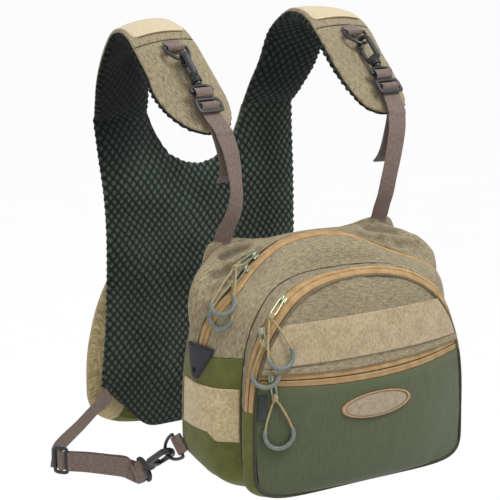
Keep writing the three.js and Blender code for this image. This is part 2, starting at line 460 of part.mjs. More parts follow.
// Hook outline in its own plane: spine, round nose, tip, and the block that carries the gate and the swivel
function hookShape() {
  const R = HOOK.radius, r = R - HOOK.bar, s = new THREE.Shape();
  s.moveTo(HOOK.block, R);
  s.lineTo(R, R);
  s.absarc(R, 0, R, Math.PI / 2, 3 * Math.PI / 2, false);
  s.lineTo(HOOK.tip, -R);
  s.lineTo(HOOK.tip, -r - 0.4);
  s.lineTo(R, -r);
  s.absarc(R, 0, r, 3 * Math.PI / 2, Math.PI / 2, true);
  s.lineTo(HOOK.spine - 3, r);
  s.lineTo(HOOK.spine, r - 3);
  s.lineTo(HOOK.spine, -R + 0.6);
  s.lineTo(HOOK.block, -R + 2.2);
  return s;
}
function gateShape() {
  const s = new THREE.Shape(), m = HOOK.gateMid, h = HOOK.gateHalf, end = HOOK.tip + 0.5, root = HOOK.gateRoot;
  s.moveTo(end, m + h); s.lineTo(end, m - h); s.lineTo(end + 1, m - h - 1.1); s.lineTo(end + 4.5, m - h - 1.1); s.lineTo(end + 6.5, m - h);
  s.lineTo(root, m - h);
  s.absarc(root, m, h, -Math.PI / 2, Math.PI / 2, false);
  return s;
}
const cylinder = (f, from, to, radius, sides) => skin([from, to].map((p) => Array.from({ length: sides }, (_, k) =>
  f(p, radius * Math.cos(2 * Math.PI * k / sides), radius * Math.sin(2 * Math.PI * k / sides)))));
function slottedPlate(outline, slots, flat, f) {
  const box = ([a0, a1, b], shape) => { shape.moveTo(a0, -b); shape.lineTo(a1, -b); shape.lineTo(a1, b); shape.lineTo(a0, b); shape.closePath(); return shape; };
  const s = box(outline, new THREE.Shape());
  for (const q of slots) s.holes.push(box(q, new THREE.Path()));
  return plate(s, flat, (x, y, z) => f(x, y, z - flat / 2));
}
// Everything that hangs on one ring: the hook turned on its swivel, its gate, its eye, and the slide below it
function hookSet(ring, lift, rise, twist) {
  const nose = ring(RING.reach - 8.7, 0, lift * RING.reach);
  const axis = ring.A.clone().addScaledVector(ring.H, rise).normalize();
  const eye = frame(nose, axis, ring.B);
  const turned = eye.B.clone().multiplyScalar(Math.cos(rad(twist))).addScaledVector(eye.H, Math.sin(rad(twist)));
  const hook = frame(nose, axis, turned);
  return { nose, eye, hook };
}
const hookBody = ({ hook }) => join(
  plate(hookShape(), HOOK.flat, (x, y, z) => hook(x, y, z - HOOK.flat / 2), 5),
  cylinder(hook, HOOK.block - 0.8, HOOK.collar, HOOK.collarRadius, 10));
const hookGate = ({ hook }) => plate(gateShape(), HOOK.gateFlat, (x, y, z) => hook(x, y, z - HOOK.gateFlat / 2), 4);
const hookEye = ({ eye }) => join(
  slottedPlate([HOOK.eyeRing, HOOK.eyeEnd, HOOK.eyeHalf], [[HOOK.eyeSlot, HOOK.eyeBar, GLIDE.slotHalf]], HOOK.eyeFlat, eye),
  cylinder(eye, HOOK.eyeFrom, HOOK.eyeRing + 0.8, HOOK.bossRadius, 8));
const slide = (f) => slottedPlate([-GLIDE.reach, GLIDE.reach, GLIDE.half],
  [[-GLIDE.slotTo, -GLIDE.slotFrom, GLIDE.slotHalf], [GLIDE.slotFrom, GLIDE.slotTo, GLIDE.slotHalf + 0.2]], GLIDE.flat, f);
// Webbing round the eye's bar, seen along the eye frame: (along, out) from the outer to the inner run
const EYE_WRAP = [[54.6, 1.8], [52.0, 3.6], [49.4, 3.9], [47.3, 3.1], [46.3, 1.6], [46.1, 0], [46.3, -1.6], [47.3, -3.1], [49.4, -3.8]];

// ------------------------------------------------------------ the pack
const pack = new THREE.Group();
pack.position.set(0, -SEAT.y, -SEAT.z);
const materials = Object.fromEntries(Object.entries(COLOURS).map(([k, [color, roughness, metalness]]) =>
  [k, new THREE.MeshStandardMaterial({ color, roughness, metalness })]));
function add(name, geometry, look) {
  const mesh = new THREE.Mesh(geometry, materials[look]);
  mesh.name = name;
  pack.add(mesh);
}
const SIDES = [['left', -1], ['right', 1]];

// Bag: wall on the chest with the two strap ears
const ears = new THREE.Shape();
{
  const st = seamAt(0), right = [];
  for (const phi of evenAngles(st, -90, 46, 13)) { const p = bagPoint(0, phi); right.push([p.x, p.z]); }
  right.push([118.5, 137], [110, 150.5], [86, 152.5], [60, 148.5], [30, 146.6]);
  right.forEach(([x, z], i) => i ? ears.lineTo(x, z) : ears.moveTo(x, z));
  [...right].reverse().slice(0, -1).forEach(([x, z]) => ears.lineTo(-x, z));
}
add('bag_back_wall', plate(ears, CLOTH, (x, z, d) => V(x, SEAMS[0].y90 + GAP / 2 + d, z)), 'khaki');
add('main_rear_gusset', bagRun(0, 1, Z_OLIVE, true, 2, 18), 'khaki');
add('main_zip', bagRun(1, 2, Z_OLIVE, true, 1, 18), 'zip');
add('main_front_gusset', bagRun(2, 4, Z_OLIVE, true, 4, 18), 'khaki');
add('main_lower_gusset', bagRun(0, 4, Z_OLIVE, false, 4, 20), 'olive');
for (const [name, side] of SIDES) add('side_band_' + name, bagPatch(side, 0.25, 3.75, Z_BAND_LOW, Z_BAND_TOP, 4, 3, 1.2, 1.5 + GAP), 'tan');
add('front_gusset_upper', bagRun(4, 5, Z_FRONT_OLIVE, true, 1, 20), 'khaki');
add('front_zip', bagRun(5, 6, Z_FRONT_OLIVE, true, 1, 20), 'zip');
add('front_gusset_lower', bagRun(4.03, 6, Z_FRONT_OLIVE, false, 3, 20), 'olive');
{
  // Wall between the two compartments, sewn in at the groove
  const st = seamAt(4), count = 28, rings = [0.4, 0.75, 1], mid = V(0, -94, 20), points = [], faces = [];
  for (const deep of [0, CLOTH]) for (const r of rings) for (let k = 0; k < count; k++) {
    const rim = loopPoint({ ...st, half: st.half - 4.5, zTop: st.zTop - 4.5, zLow: st.zLow + 4.5 }, mix(90, -270, k / count));
    const p = mid.clone().lerp(rim, r);
    p.y = mid.y + (rim.y - mid.y) * r ** 4 - CLOTH / 2 + deep;
    points.push(p);
  }
  const half = rings.length * count, hub = points.length;
  points.push(V(0, mid.y - CLOTH / 2, mid.z), V(0, mid.y + CLOTH / 2, mid.z));
  for (let k = 0; k < count; k++) {
    const l = (k + 1) % count;
    for (let i = 0; i < rings.length - 1; i++) {
      const a = i * count + k, b = i * count + l, c = (i + 1) * count + l, d = (i + 1) * count + k;
      faces.push([a, b, c], [a, c, d], [half + a, half + c, half + b], [half + a, half + d, half + c]);
    }
    faces.push([hub, l, k], [hub + 1, half + k, half + l]);
    const e = (rings.length - 1) * count;
    faces.push([e + k, e + l, half + e + l], [e + k, half + e + l, half + e + k]);
  }
  add('compartment_wall', body(points, faces), 'khaki');
}
// Front face
const bareTop = (x) => rimTop(x);
add('front_panel', facePiece(reachAt(POCKET.top + POCKET.riseTop + 3), pocketTop, bareTop, 14, 6), 'khaki');
add('front_band', facePiece(reachAt(BAND.top) - 0.6, () => BAND.low, () => BAND.top, 14, 2, 1.1, 1.4 + GAP), 'tan');
add('pocket_zip', surfaceWall(14, 1, (i, j) => {
  const x = spread(mix(reachAt(POCKET.low), reachAt(POCKET.top), j), i);
  return [x, mix(pocketLow(x), pocketTop(x), j)];
}, facePoint, faceNormal, CLOTH), 'zip');
add('pocket_panel', surfaceWall(14, 6, (i, j) => {
  const x = spread(reachAt(POCKET.low) - 1.2, i);
  return [x * (1 + 0.02 * Math.sin(Math.PI * j)), mix(rimLow(x) + 1, pocketLow(x), j)];
}, facePoint, faceNormal, CLOTH), 'green');
{
  // Bare oval badge that follows the face
  const count = 20, rings = [0.5, 0.86, 1], lifts = [2.6, 2.4, 1.4], points = [], faces = [], a = 42, b = 12, z0 = 0;
  const at = (r, k, lift) => {
    const q = 2 * Math.PI * k / count, x = a * r * Math.cos(q), z = z0 + b * r * Math.sin(q) + 0.02 * x;
    return facePoint(x, z).addScaledVector(faceNormal(x, z), lift);
  };
  rings.forEach((r, i) => { for (let k = 0; k < count; k++) points.push(at(r, k, lifts[i])); });
  rings.forEach((r) => { for (let k = 0; k < count; k++) points.push(at(r, k, GAP)); });
  const half = rings.length * count, hub = points.length;
  points.push(at(0, 0, 2.6), at(0, 0, GAP));
  for (let k = 0; k < count; k++) {
    const l = (k + 1) % count, e = (rings.length - 1) * count;
    for (let i = 0; i < rings.length - 1; i++) {
      const p = i * count + k, q = i * count + l, u = (i + 1) * count + l, v = (i + 1) * count + k;
      faces.push([p, q, u], [p, u, v], [half + p, half + u, half + q], [half + p, half + v, half + u]);
    }
    faces.push([hub, l, k], [hub + 1, half + k, half + l], [e + k, e + l, half + e + l], [e + k, half + e + l, half + e + k]);
  }
  add('badge', body(points, faces), 'rubber');
}
// Rubber zip garages where the main zip ends, drawn by seam (16 mm a seam) and height
for (const [name, side] of SIDES) {
  const s = new THREE.Shape(), top = Z_OLIVE + 9, low = 27;
  s.moveTo(9, top); s.quadraticCurveTo(26, top + 1.5, 43, top - 2); s.quadraticCurveTo(38, 42, 22, low + 1.5);
  s.quadraticCurveTo(17, low - 1, 13.5, low + 3); s.quadraticCurveTo(10, 45, 9, top);
  const hole = new THREE.Path(); hole.absellipse(18, 36, 2.6, 2.6, 0, 2 * Math.PI, false); s.holes.push(hole);
  add('zip_garage_' + name, plate(s, 1.6, (p, z, d) => {
    const q = p / 16, phi = angleAt(seamAt(q), z), at = side > 0 ? phi : 180 - phi;
    return bagPoint(q, at).addScaledVector(bagNormal(q, at), GAP + 1.7 + d);
  }, 4), 'rubber');
}

// Yoke
add('back_pad', backWall(7, backPuff, BACK_BED, 0), 'mesh');
add('back_shell', backWall(7, () => BACK_BED + GAP + 0.2, BACK_REAR, 1), 'khaki');
add('back_pouch', pouchWall(26), 'khaki');
for (const [name, side] of SIDES) {
  add('arm_cover_' + name, armWall(side, 0, ARM_ROWS.length - 1, 1, 4, CLOTH, 0), 'khaki');
  add('arm_pad_' + name, armWall(side, 0, ARM_ROWS.length - 1, 0, 4, PAD.mid, -CLOTH - GAP, (i, j) => padRound(j) * Math.min(1, 0.4 + 2.5 * i)), 'mesh');
  add('shoulder_patch_' + name, armWall(side, PATCH.from, PATCH.to, PATCH.narrower, 4, 1.3, 1.3 + GAP), 'tan');
}

// Shoulder hardware and chest straps
export const HINGES = {};
for (const [name, side] of SIDES) {
  const down = V(0, ARM_RING.slopeY, ARM_RING.slopeZ).normalize(), out = V(0, ARM_RING.slopeZ, -ARM_RING.slopeY).normalize();
  const ring = frame(V(side * ARM_RING.x, ARM_RING.y, ARM_RING.z).addScaledVector(out, ARM_RING.up).addScaledVector(down, 2), down, V(1, 0, 0));
  if (ring.H.z < 0) throw new Error('the ring frame must face out');
  const set = hookSet(ring, RING.lift, 0.046, side > 0 ? HOOK_TURN : 180 - HOOK_TURN);
  add('ring_loop_' + name, foldedLoop(ring, 10, -2.4), 'webbing');
  add('d_ring_' + name, wireRing(ring, RING.lift), 'plastic');
  add('hook_body_' + name, hookBody(set), 'plastic');
  add('hook_gate_' + name, hookGate(set), 'plastic');
  add('hook_eye_' + name, hookEye(set), 'plastic');
  const glide = frame(set.eye(GLIDE.at, 0, 0), set.eye.A, set.eye.B);
  add('tri_glide_' + name, slide(glide), 'plastic');
  HINGES['hook_gate_' + name] = { at: set.hook(HOOK.gateRoot, HOOK.gateMid, 0), axis: set.hook.H.clone() };
  const w = GLIDE.wave, run = CHEST_RUN.map((r) => V(side * r.x, r.y, r.z)), tail = CHEST_TAIL.map((r) => V(side * r.x, r.y, r.z));
  const weave = [[9.5, -3.4], [7, -w], [5.2, -w * 0.72], [3.45, 0], [1.7, w * 0.72], [0, w], [-1.7, w * 0.72], [-3.45, 0], [-5.2, -w * 0.72], [-7, -w], [-9.9, -2.5]].map(([p, r]) => glide(p, 0, r));
  const wrap = EYE_WRAP.map(([p, r]) => set.eye(p, 0, r));
  const under = [[-12, -5.0], [-8, -5.8], [0, -6.4], [8, -6.6]].map(([p, r]) => glide(p, 0, r));
  const path = [...spline(run, 15), ...weave, ...wrap, ...under, ...spline(tail, 8)];
  add('chest_web_' + name, ribbon(path, path.map(() => V(1, 0, 0))), 'webbing');
}

// Waist hardware and straps
for (const [name, side] of SIDES) {
  const flip = (p) => V(side * p[0], p[1], p[2]);
  const pull = flip(WAIST.pull).normalize();
  const ring = frame(flip(WAIST.bar), pull, V(0, 0, side));
  const set = hookSet(ring, 0, 0, side > 0 ? HOOK_TURN : 180 - HOOK_TURN);
  add('waist_tab_' + name, foldedLoop(ring, 9.6, 0), 'webbing');
  add('waist_ring_' + name, wireRing(ring, 0), 'plastic');
  add('waist_hook_body_' + name, hookBody(set), 'plastic');
  add('waist_hook_gate_' + name, hookGate(set), 'plastic');
  add('waist_hook_eye_' + name, hookEye(set), 'plastic');
  HINGES['waist_hook_gate_' + name] = { at: set.hook(HOOK.gateRoot, HOOK.gateMid, 0), axis: set.hook.H.clone() };
  const bar = set.eye(49.8, 0, 0), glideAt = flip(WAIST.glide);
  const glide = frame(glideAt, bar.clone().sub(glideAt), V(0, 0, side));
  add('waist_glide_' + name, slide(glide), 'plastic');
  const w = GLIDE.wave, path = [], across = [];
  const put = (p, q) => { path.push(p); across.push(q); };
  for (const r of WAIST_RUN) put(V(side * r.x, r.y, r.z), V(side * r.wx, 0, r.wz).multiplyScalar(side));
  for (const [p, r] of [[-9.5, 3.4], [-7, w], [-5.2, w * 0.72], [-3.45, 0], [-1.7, -w * 0.72], [0, -w], [1.7, -w * 0.72], [3.45, 0], [5.2, w * 0.72], [7, w], [10, 3.2]]) put(glide(p, 0, r), glide.B);
  const span = bar.distanceTo(glideAt);
  for (const k of [0.3, 0.55, 0.78]) put(glide(span * k, 0, 4.5 + 3 * Math.sin(Math.PI * k)), glide.B.clone().lerp(set.eye.B, k * k));
  put(set.eye(57.5, 0, 4.2), set.eye.B);
  for (const [p, r] of [...EYE_WRAP].reverse()) put(set.eye(p, 0, -r), set.eye.B);
  put(set.eye(58.5, 0, -1.4), set.eye.B);
  for (const k of [0.8, 0.55, 0.3]) put(glide(span * k, 0, -1.5 + 3 * Math.sin(Math.PI * k)), glide.B.clone().lerp(set.eye.B, k * k));
  put(glide(9.4, 0, -2.4), glide.B);
  add('waist_web_' + name, ribbon(path, across), 'webbing');
}

// Zip pulls: slider, tab, knotted cord and grip of each in one piece
const arcThrough = (a, b, c, count) => {
  const u = b.clone().sub(a), v = c.clone().sub(a), n = u.clone().cross(v), d = 2 * n.lengthSq();
  const mid = a.clone().add(n.clone().cross(u).multiplyScalar(v.lengthSq() / d)).add(v.clone().cross(n).multiplyScalar(u.lengthSq() / d));
  const e1 = a.clone().sub(mid), e2 = n.clone().normalize().cross(e1), w = c.clone().sub(mid);
  let sweep = Math.atan2(w.dot(e2), w.dot(e1));
  if (sweep < 0) sweep += 2 * Math.PI;
  return { axis: n.normalize(), points: Array.from({ length: count + 1 }, (_, k) => mid.clone().addScaledVector(e1, Math.cos(sweep * k / count)).addScaledVector(e2, Math.sin(sweep * k / count))) };
};
for (const row of PULLS) {
  const [slider, out, knot, rear, low, fore] = ['slider', 'out', 'knot', 'rear', 'low', 'fore'].map((k) => V(...row[k]));
  out.normalize();
  const along = knot.clone().sub(slider).addScaledVector(out, -knot.clone().sub(slider).dot(out)).normalize(), across = along.clone().cross(out);
  const seat = slider.clone().addScaledVector(out, PULL.lift), top = seat.clone().addScaledVector(out, PULL.sliderHigh / 2 - 0.3);
  const bow = arcThrough(rear, low, fore, 8), toKnot = knot.clone().sub(top).normalize();
  const strand = (end) => rod([knot, end], PULL.cord, 5, false, bow.axis);
  add(row.name, join(
    ribbon([seat.clone().addScaledVector(along, -PULL.sliderLong / 2), seat.clone().addScaledVector(along, PULL.sliderLong / 2)], [across, across], PULL.sliderWide, PULL.sliderHigh),
    ribbon([top, knot], [across, across], PULL.tabWide, PULL.tabThick),
    rod([knot.clone().addScaledVector(toKnot, -1.6), knot.clone().addScaledVector(toKnot, 1.6)], PULL.knot, 6, false, out),
    strand(rear), strand(fore), rod(bow.points, PULL.grip, 7, false, bow.axis)), 'metal');
}

export default pack;
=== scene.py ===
# Looks of the chest pack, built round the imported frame. Sketch millimetres, moved by SEAT into the row's metres.
import bpy
import math
import numpy as np
from mathutils import Matrix, Vector


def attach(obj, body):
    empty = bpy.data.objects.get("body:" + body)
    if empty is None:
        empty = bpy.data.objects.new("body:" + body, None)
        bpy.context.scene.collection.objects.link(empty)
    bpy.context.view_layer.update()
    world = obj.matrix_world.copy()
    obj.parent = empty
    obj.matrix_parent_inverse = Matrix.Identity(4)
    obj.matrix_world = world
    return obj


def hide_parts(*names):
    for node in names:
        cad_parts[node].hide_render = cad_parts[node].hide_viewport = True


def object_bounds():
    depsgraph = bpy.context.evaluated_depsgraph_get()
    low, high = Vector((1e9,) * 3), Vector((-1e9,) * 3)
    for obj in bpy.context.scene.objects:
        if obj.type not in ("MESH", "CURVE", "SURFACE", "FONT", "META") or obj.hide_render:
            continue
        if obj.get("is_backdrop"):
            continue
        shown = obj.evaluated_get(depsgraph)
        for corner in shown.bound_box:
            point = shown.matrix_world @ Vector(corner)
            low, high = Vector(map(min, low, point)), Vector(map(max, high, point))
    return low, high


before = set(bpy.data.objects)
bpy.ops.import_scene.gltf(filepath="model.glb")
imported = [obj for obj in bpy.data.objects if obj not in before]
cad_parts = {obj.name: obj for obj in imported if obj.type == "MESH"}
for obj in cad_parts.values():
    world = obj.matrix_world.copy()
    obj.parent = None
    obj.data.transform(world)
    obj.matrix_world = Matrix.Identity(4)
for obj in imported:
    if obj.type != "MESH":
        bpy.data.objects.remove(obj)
CAD_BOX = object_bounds()
SEAT = np.array([0.0, 97.0, 345.0])
MM = 0.001

# ------------------------------------------------------------ camera and light
scene = bpy.context.scene
scene.view_settings.view_transform = "Standard"
cam_data = bpy.data.cameras.new("Camera")
cam_data.lens, cam_data.sensor_width, cam_data.sensor_fit = 158.4, 36.0, "HORIZONTAL"
cam_data.clip_end = 300.0
cam = bpy.data.objects.new("Camera", cam_data)
scene.collection.objects.link(cam)
AZ, EL = math.radians(-35.0), math.radians(12.7)
right = Vector((math.cos(AZ), math.sin(AZ), 0.0))
back = Vector((math.sin(AZ) * math.cos(EL), -math.cos(AZ) * math.cos(EL), math.sin(EL)))
up = back.cross(right)
cam.matrix_world = Matrix(((right.x, up.x, back.x, -1.2770), (right.y, up.y, back.y, -1.8516), (right.z, up.z, back.z, 0.2695), (0, 0, 0, 1)))
scene.camera = cam

world = bpy.data.worlds.new("Studio")
world.use_nodes = True
world.node_tree.nodes["Background"].inputs["Color"].default_value = (1.0, 1.0, 1.0, 1.0)
world.node_tree.nodes["Background"].inputs["Strength"].default_value = 1.0
scene.world = world


def area_light(name, place, target, size, watts):
    data = bpy.data.lights.new(name, "AREA")
    data.size, data.energy = size, watts
    o = bpy.data.objects.new(name, data)
    scene.collection.objects.link(o)
    o.location = place
    o.rotation_euler = (Vector(target) - Vector(place)).to_track_quat("-Z", "Y").to_euler()


area_light("Key", (0.5, -1.5, 2.4), (0.0, -0.1, -0.25), 1.2, 75.0)

# ------------------------------------------------------------ tables shared with the part's source
CLOTH, TAPE, WEB, GAP = 1.8, 1.4, 20.0, 0.5
PAD_MID, PAD_EDGE = 9.4, 3.6
WIRE, PANEL_INSET, HOOK_TURN = 1.7, 1.7, 70.0
RING_REACH, RING_HALF, RING_LIFT = 19.5, 12.5, 0.30
Z_OLIVE, Z_BAND_TOP, Z_BAND_LOW, Z_FRONT_OLIVE = 53.0, 21.0, -27.0, 5.0
POCKET = dict(top=38.0, low=24.0, rise_top=4.0, rise_low=6.0, half=118.0)
BAND_TOP, BAND_LOW = 86.0, 47.0


def table(names, rows):
    """Smooth values of every column at places along the first one."""
    a = np.array(rows, float)
    x, n = a[:, 0], len(rows)
    slope = np.array([(a[min(n - 1, k + 1)] - a[max(0, k - 1)]) / (x[min(n - 1, k + 1)] - x[max(0, k - 1)]) for k in range(n)])
    cols = names.split()

    def at(v):
        v = np.asarray(v, float)
        i = np.searchsorted(x[1:n - 1], v, side="left")
        h = x[i + 1] - x[i]
        t = np.clip((v - x[i]) / h, 0, 1)
        t2, t3 = t * t, t * t * t
        return {c: (2 * t3 - 3 * t2 + 1) * a[i, k] + (t3 - 2 * t2 + t) * slope[i, k] * h + (3 * t2 - 2 * t3) * a[i + 1, k] + (t3 - t2) * slope[i + 1, k] * h for k, c in enumerate(cols)}
    return at


seam_at = table("s half zWide zTop zLow nTop nLow y90 y65 y45 y20 yN45 yN90", [
    (0, 144, -18, 146, -74, 2.60, 4.4, -22, -22, -22, -22, -22, -22),
    (1, 147, -18, 150, -79, 2.55, 4.6, -27, -40, -64, -51, -46, -42),
    (2, 147, -18, 147.5, -82, 2.60, 4.8, -40, -53, -77, -64, -59, -55),
    (3, 143, -18, 137, -84, 2.80, 4.8, -55, -69, -86, -80, -78, -75),
    (4, 127, -18, 121.5, -81, 3.60, 4.8, -69, -85, -95, -97, -97, -93),
    (5, 132, -18, 125, -84, 2.90, 7.4, -92, -102, -109, -107.5, -111, -110),
    (6, 129, -18, 120, -84, 2.50, 7.4, -106, -113, -119, -118.5, -123, -127)])
EAR = dict(out=24.0, at=54.0, spread=19.0, lean=math.radians(57))
swell_at = table("s out at sag", [(0, 0, 48, 0), (0.5, 29, 44, 1), (1, 16, 37, 7), (2, 12, 37, 8), (3, 5, 37, 4), (4, 0, 37, 0), (6, 0, 37, 0)])
face_at = table("z y", [(-85, -128), (-75, -138), (-58, -144), (-30, -146.5), (0, -145.5), (37, -138), (60, -131.5), (84, -125), (100, -118), (112, -111), (120, -106)])
arm_at = table("t x y z half dy dz crown", [
    (0, 108, -28, 260.5, 7, 0, 0, 1), (1, 108, -19, 267, 25, 0, 0, 4), (2, 109, -2, 280, 34, -5, 3, 6.5), (3, 110, 19, 297.5, 37, -2, 7, 7),
    (4, 109.5, 36.5, 314.5, 36, 3, 9, 7), (5, 110, 57, 334, 36, 0, 4, 6), (6, 110, 75, 346, 34, 0, 4, 5), (7, 110, 97, 350.5, 31, 2, 6, 4),
    (8, 110, 119, 345, 30, 7, 10, 3), (9, 109, 142, 320, 30.5, 14, 16, 2), (10, 104.5, 153, 292, 32.5, 10, 6, 1), (11, 98.5, 163, 270, 33, 6, 2, 0),
    (12, 93.5, 174, 246.8, 31.5, 2, 0, 0)])
back_at = table("z y half", [(-90, 157, 126), (-33, 156.5, 126), (26, 155.5, 121), (112, 154, 119), (164, 156, 120), (214, 163, 123), (246, 167, 125)])
BACK_X = [0, 19, 39, 49, 57, 62, 74, 90, 108, 126]
BACK_LOW = [-89, -89, -89, -89, -89, -89, -86, -70, -53, -33]
BACK_TOP = [190, 193.5, 204, 218, 233, 246, 246, 246, 246, 246]
BACK_BED = 5.0
BACK_REAR = BACK_BED + GAP + 0.2 + CLOTH
pouch_at = table("p d half zWide zTop zLow nTop nLow", [
    (0, 0, 122, -34, 134, -84, 2.2, 3.4), (1, 9, 134, -34, 140, -88, 2.2, 3.4), (2, 20, 130, -34, 128, -84, 2.2, 3.2),
    (3, 28, 112, -34, 100, -70, 2.2, 2.8), (4, 31, 70, -34, 50, -55, 2.2, 2.4), (5, 31.6, 0.6, -34, -33.4, -34.6, 2.2, 2.4)])
CHEST_RUN = [(97, -23.6, 149.4), (97, -24.4, 156), (96, -28.5, 165), (94.5, -36, 178), (94, -41.5, 195), (96, -44.5, 213), (99, -45, 230), (102.5, -43.5, 247), (106.5, -37.5, 264)]
CHEST_TAIL = [(108.5, -31.5, 266), (106, -34.5, 257), (102, -35.5, 243), (98.7, -35, 230), (96.8, -31.5, 219), (95.8, -25, 211)]
WAIST_RUN = [(118.4, 159, -44.4, -0.66, 0.75), (134, 157.5, -55, -0.6, 0.8), (160, 151, -70, -0.45, 0.9), (184, 141, -79, -0.25, 0.97), (201, 132, -85, -0.1, 1), (209, 124, -88, 0, 1)]
WAIST_BAR, WAIST_PULL, WAIST_GLIDE = (146.5, -16, -50), (0.19, 0.78, -0.60), (205.5, 112, -88.5)
EYE_WRAP = [(54.6, 1.8), (52.0, 3.6), (49.4, 3.9), (47.3, 3.1), (46.3, 1.6), (46.1, 0), (46.3, -1.6), (47.3, -3.1), (49.4, -3.8)]
WAVE = 3.0
PULLS = [
    ("main_pull_upper", (-70.7, -38.6, 134.7), (-0.20, -0.50, 0.85), (-105.8, -57.1, 132.4), (-142.7, -71.1, 106.1), (-143.7, -82.8, 96.9), (-127, -83.8, 112.4)),
    ("main_pull_lower", (-87.3, -48.8, 125.4), (-0.24, -0.35, 0.90), (-116.1, -67.5, 119.8), (-141.6, -66.3, 96.2), (-142.7, -78, 82.1), (-133.8, -92.1, 92.5)),
    ("front_pull_upper", (-85.5, -107.7, 107.2), (-0.35, -0.52, 0.78), (-107.3, -118, 96.1), (-117.9, -129, 59.7), (-105.2, -134.2, 49), (-92, -130.1, 67)),
    ("front_pull_lower", (-111.9, -111.3, 81), (-0.65, -0.66, 0.38), (-115.7, -119.1, 70.3), (-127.6, -116.4, 43.2), (-119.6, -127.2, 31.2), (-106.3, -130.6, 43.7)),
    ("pocket_pull", (-110.1, -122.8, 37.1), (-0.32, -0.94, 0.13), (-109.4, -128.5, 18.4), (-119.3, -127, -11), (-107.3, -132.3, -29.8), (-95.1, -136.5, -9.9)),
]
SIDES = (("left", -1.0), ("right", 1.0))

# ------------------------------------------------------------ small maths
norm = lambda v: v / np.maximum(1e-12, np.linalg.norm(v, axis=-1, keepdims=True))
unit = lambda v: norm(np.asarray(v, float))
mix = lambda a, b, t: a + (b - a) * t
gauss = lambda d, w: np.exp(-(d / w) ** 2)


def smoothstep(a, b, x):
    t = np.clip((x - a) / (b - a), 0, 1)
    return t * t * (3 - 2 * t)


def lattice(i, j, k, seed):
    h = (i.astype(np.int64) * 374761393 + j.astype(np.int64) * 668265263 + k.astype(np.int64) * 1274126177 + seed * 974711) & 0xFFFFFFFF
    h = ((h ^ (h >> 13)) * 1274126177) & 0xFFFFFFFF
    return ((h ^ (h >> 16)) & 0xFFFF) / 65535.0


def noise(p, scale, seed=0):
    """Seeded value noise from -1 to 1 at points in mm; scale is one length or one for each axis."""
    q = np.asarray(p, float) / np.asarray(scale, float)
    i = np.floor(q)
    f = q - i
    f = f * f * (3 - 2 * f)
    total = 0.0
    for a in (0, 1):
        for b in (0, 1):
            for c in (0, 1):
                w = (f[..., 0] if a else 1 - f[..., 0]) * (f[..., 1] if b else 1 - f[..., 1]) * (f[..., 2] if c else 1 - f[..., 2])
                total = total + w * lattice(i[..., 0] + a, i[..., 1] + b, i[..., 2] + c, seed)
    return 2 * total - 1


def crumple(p, amount, size=26.0, seed=0):
    """Soft handling wrinkles of filled cloth."""
    n = noise(p, size, seed) + 0.5 * noise(p, size * 0.45, seed + 7)
    crease = 1 - np.abs(noise(p, size * 1.3, seed + 3)) * 2
    return amount * (0.6 * n + 0.5 * np.clip(crease, 0, 1) ** 2)


def segment_distance(p, a, b):
    a, b = np.array(a, float), np.array(b, float)
    t = np.clip(((p - a) @ (b - a)) / ((b - a) @ (b - a)), 0, 1)
    return np.linalg.norm(p - (a + t[..., None] * (b - a)), axis=-1)


# Folds and hollows of the bag's cloth as the photo shows them at the near ear: from, to, width, height
FOLDS = [
    ((-105, -33.5, 139), (-74, -28.5, 145), 5.0, -7.0), ((-108, -42.0, 131.5), (-85, -37, 136), 3.4, 4.4), ((-85, -37, 136), (-60, -31.5, 142), 3.4, 3.4),
    ((-124, -47.5, 125), (-101, -46, 128), 4.5, -5.0), ((-148, -48, 89), (-136, -61, 99), 3.0, -3.2), ((-128, -40, 128), (-141, -46, 112), 5.0, 2.2),
    ((-151, -38, 82), (-148, -34, 62), 4.0, -1.8), ((-146, -46, 76), (-142, -60, 70), 4.5, -1.6), ((-132, -56, 112), (-118, -58, 116), 4.0, -2.6),
]


def folds(p):
    """The folds, and their likes on the other side."""
    d = 0.0
    for a, b, w, h in FOLDS:
        d = d + h * gauss(segment_distance(p, a, b), w)
        m = np.array([-1.0, 1.0, 1.0])
        d = d + 0.8 * h * gauss(segment_distance(p, np.array(a) * m + (3, 0, -2), np.array(b) * m + (3, 1, -1)), w * 1.1)
    return d


# ------------------------------------------------------------ the bag's skin, as in the part's source
QK = np.array([-90.0, -45, 20, 45, 65, 90])


def seam_depth(st, q):
    Y = np.stack([np.broadcast_to(st[c], np.shape(q)) for c in ("yN90", "yN45", "y20", "y45", "y65", "y90")])
    S = np.stack([(Y[min(5, k + 1)] - Y[max(0, k - 1)]) / (QK[min(5, k + 1)] - QK[max(0, k - 1)]) for k in range(6)])
    i = np.searchsorted(QK[1:5], q, side="left")
    pick = lambda M, k: np.take_along_axis(M, k[None], 0)[0]
    h = QK[i + 1] - QK[i]
    t = np.clip((q - QK[i]) / h, 0, 1)
    t2, t3 = t * t, t ** 3
    return (2 * t3 - 3 * t2 + 1) * pick(Y, i) + (t3 - 2 * t2 + t) * pick(S, i) * h + (3 * t2 - 2 * t3) * pick(Y, i + 1) + (t3 - t2) * pick(S, i + 1) * h


def fold_angle(phi):
    return np.where(phi > 90, 180 - phi, np.where(phi < -90, -180 - phi, phi))


def loop_point(st, phi):
    phi = np.asarray(phi, float)
    side = np.where((phi > 90) | (phi < -90), -1.0, 1.0)
    q = fold_angle(phi)
    c, s = np.maximum(0, np.cos(np.radians(q))), np.sin(np.radians(q))
    n = np.where(s >= 0, st["nTop"], st["nLow"])
    reach = np.where(s >= 0, st["zTop"] - st["zWide"], st["zWide"] - st["zLow"])
    return np.stack([side * st["half"] * c ** (2 / n), seam_depth(st, q), st["zWide"] + np.sign(s) * reach * np.abs(s) ** (2 / n)], -1)


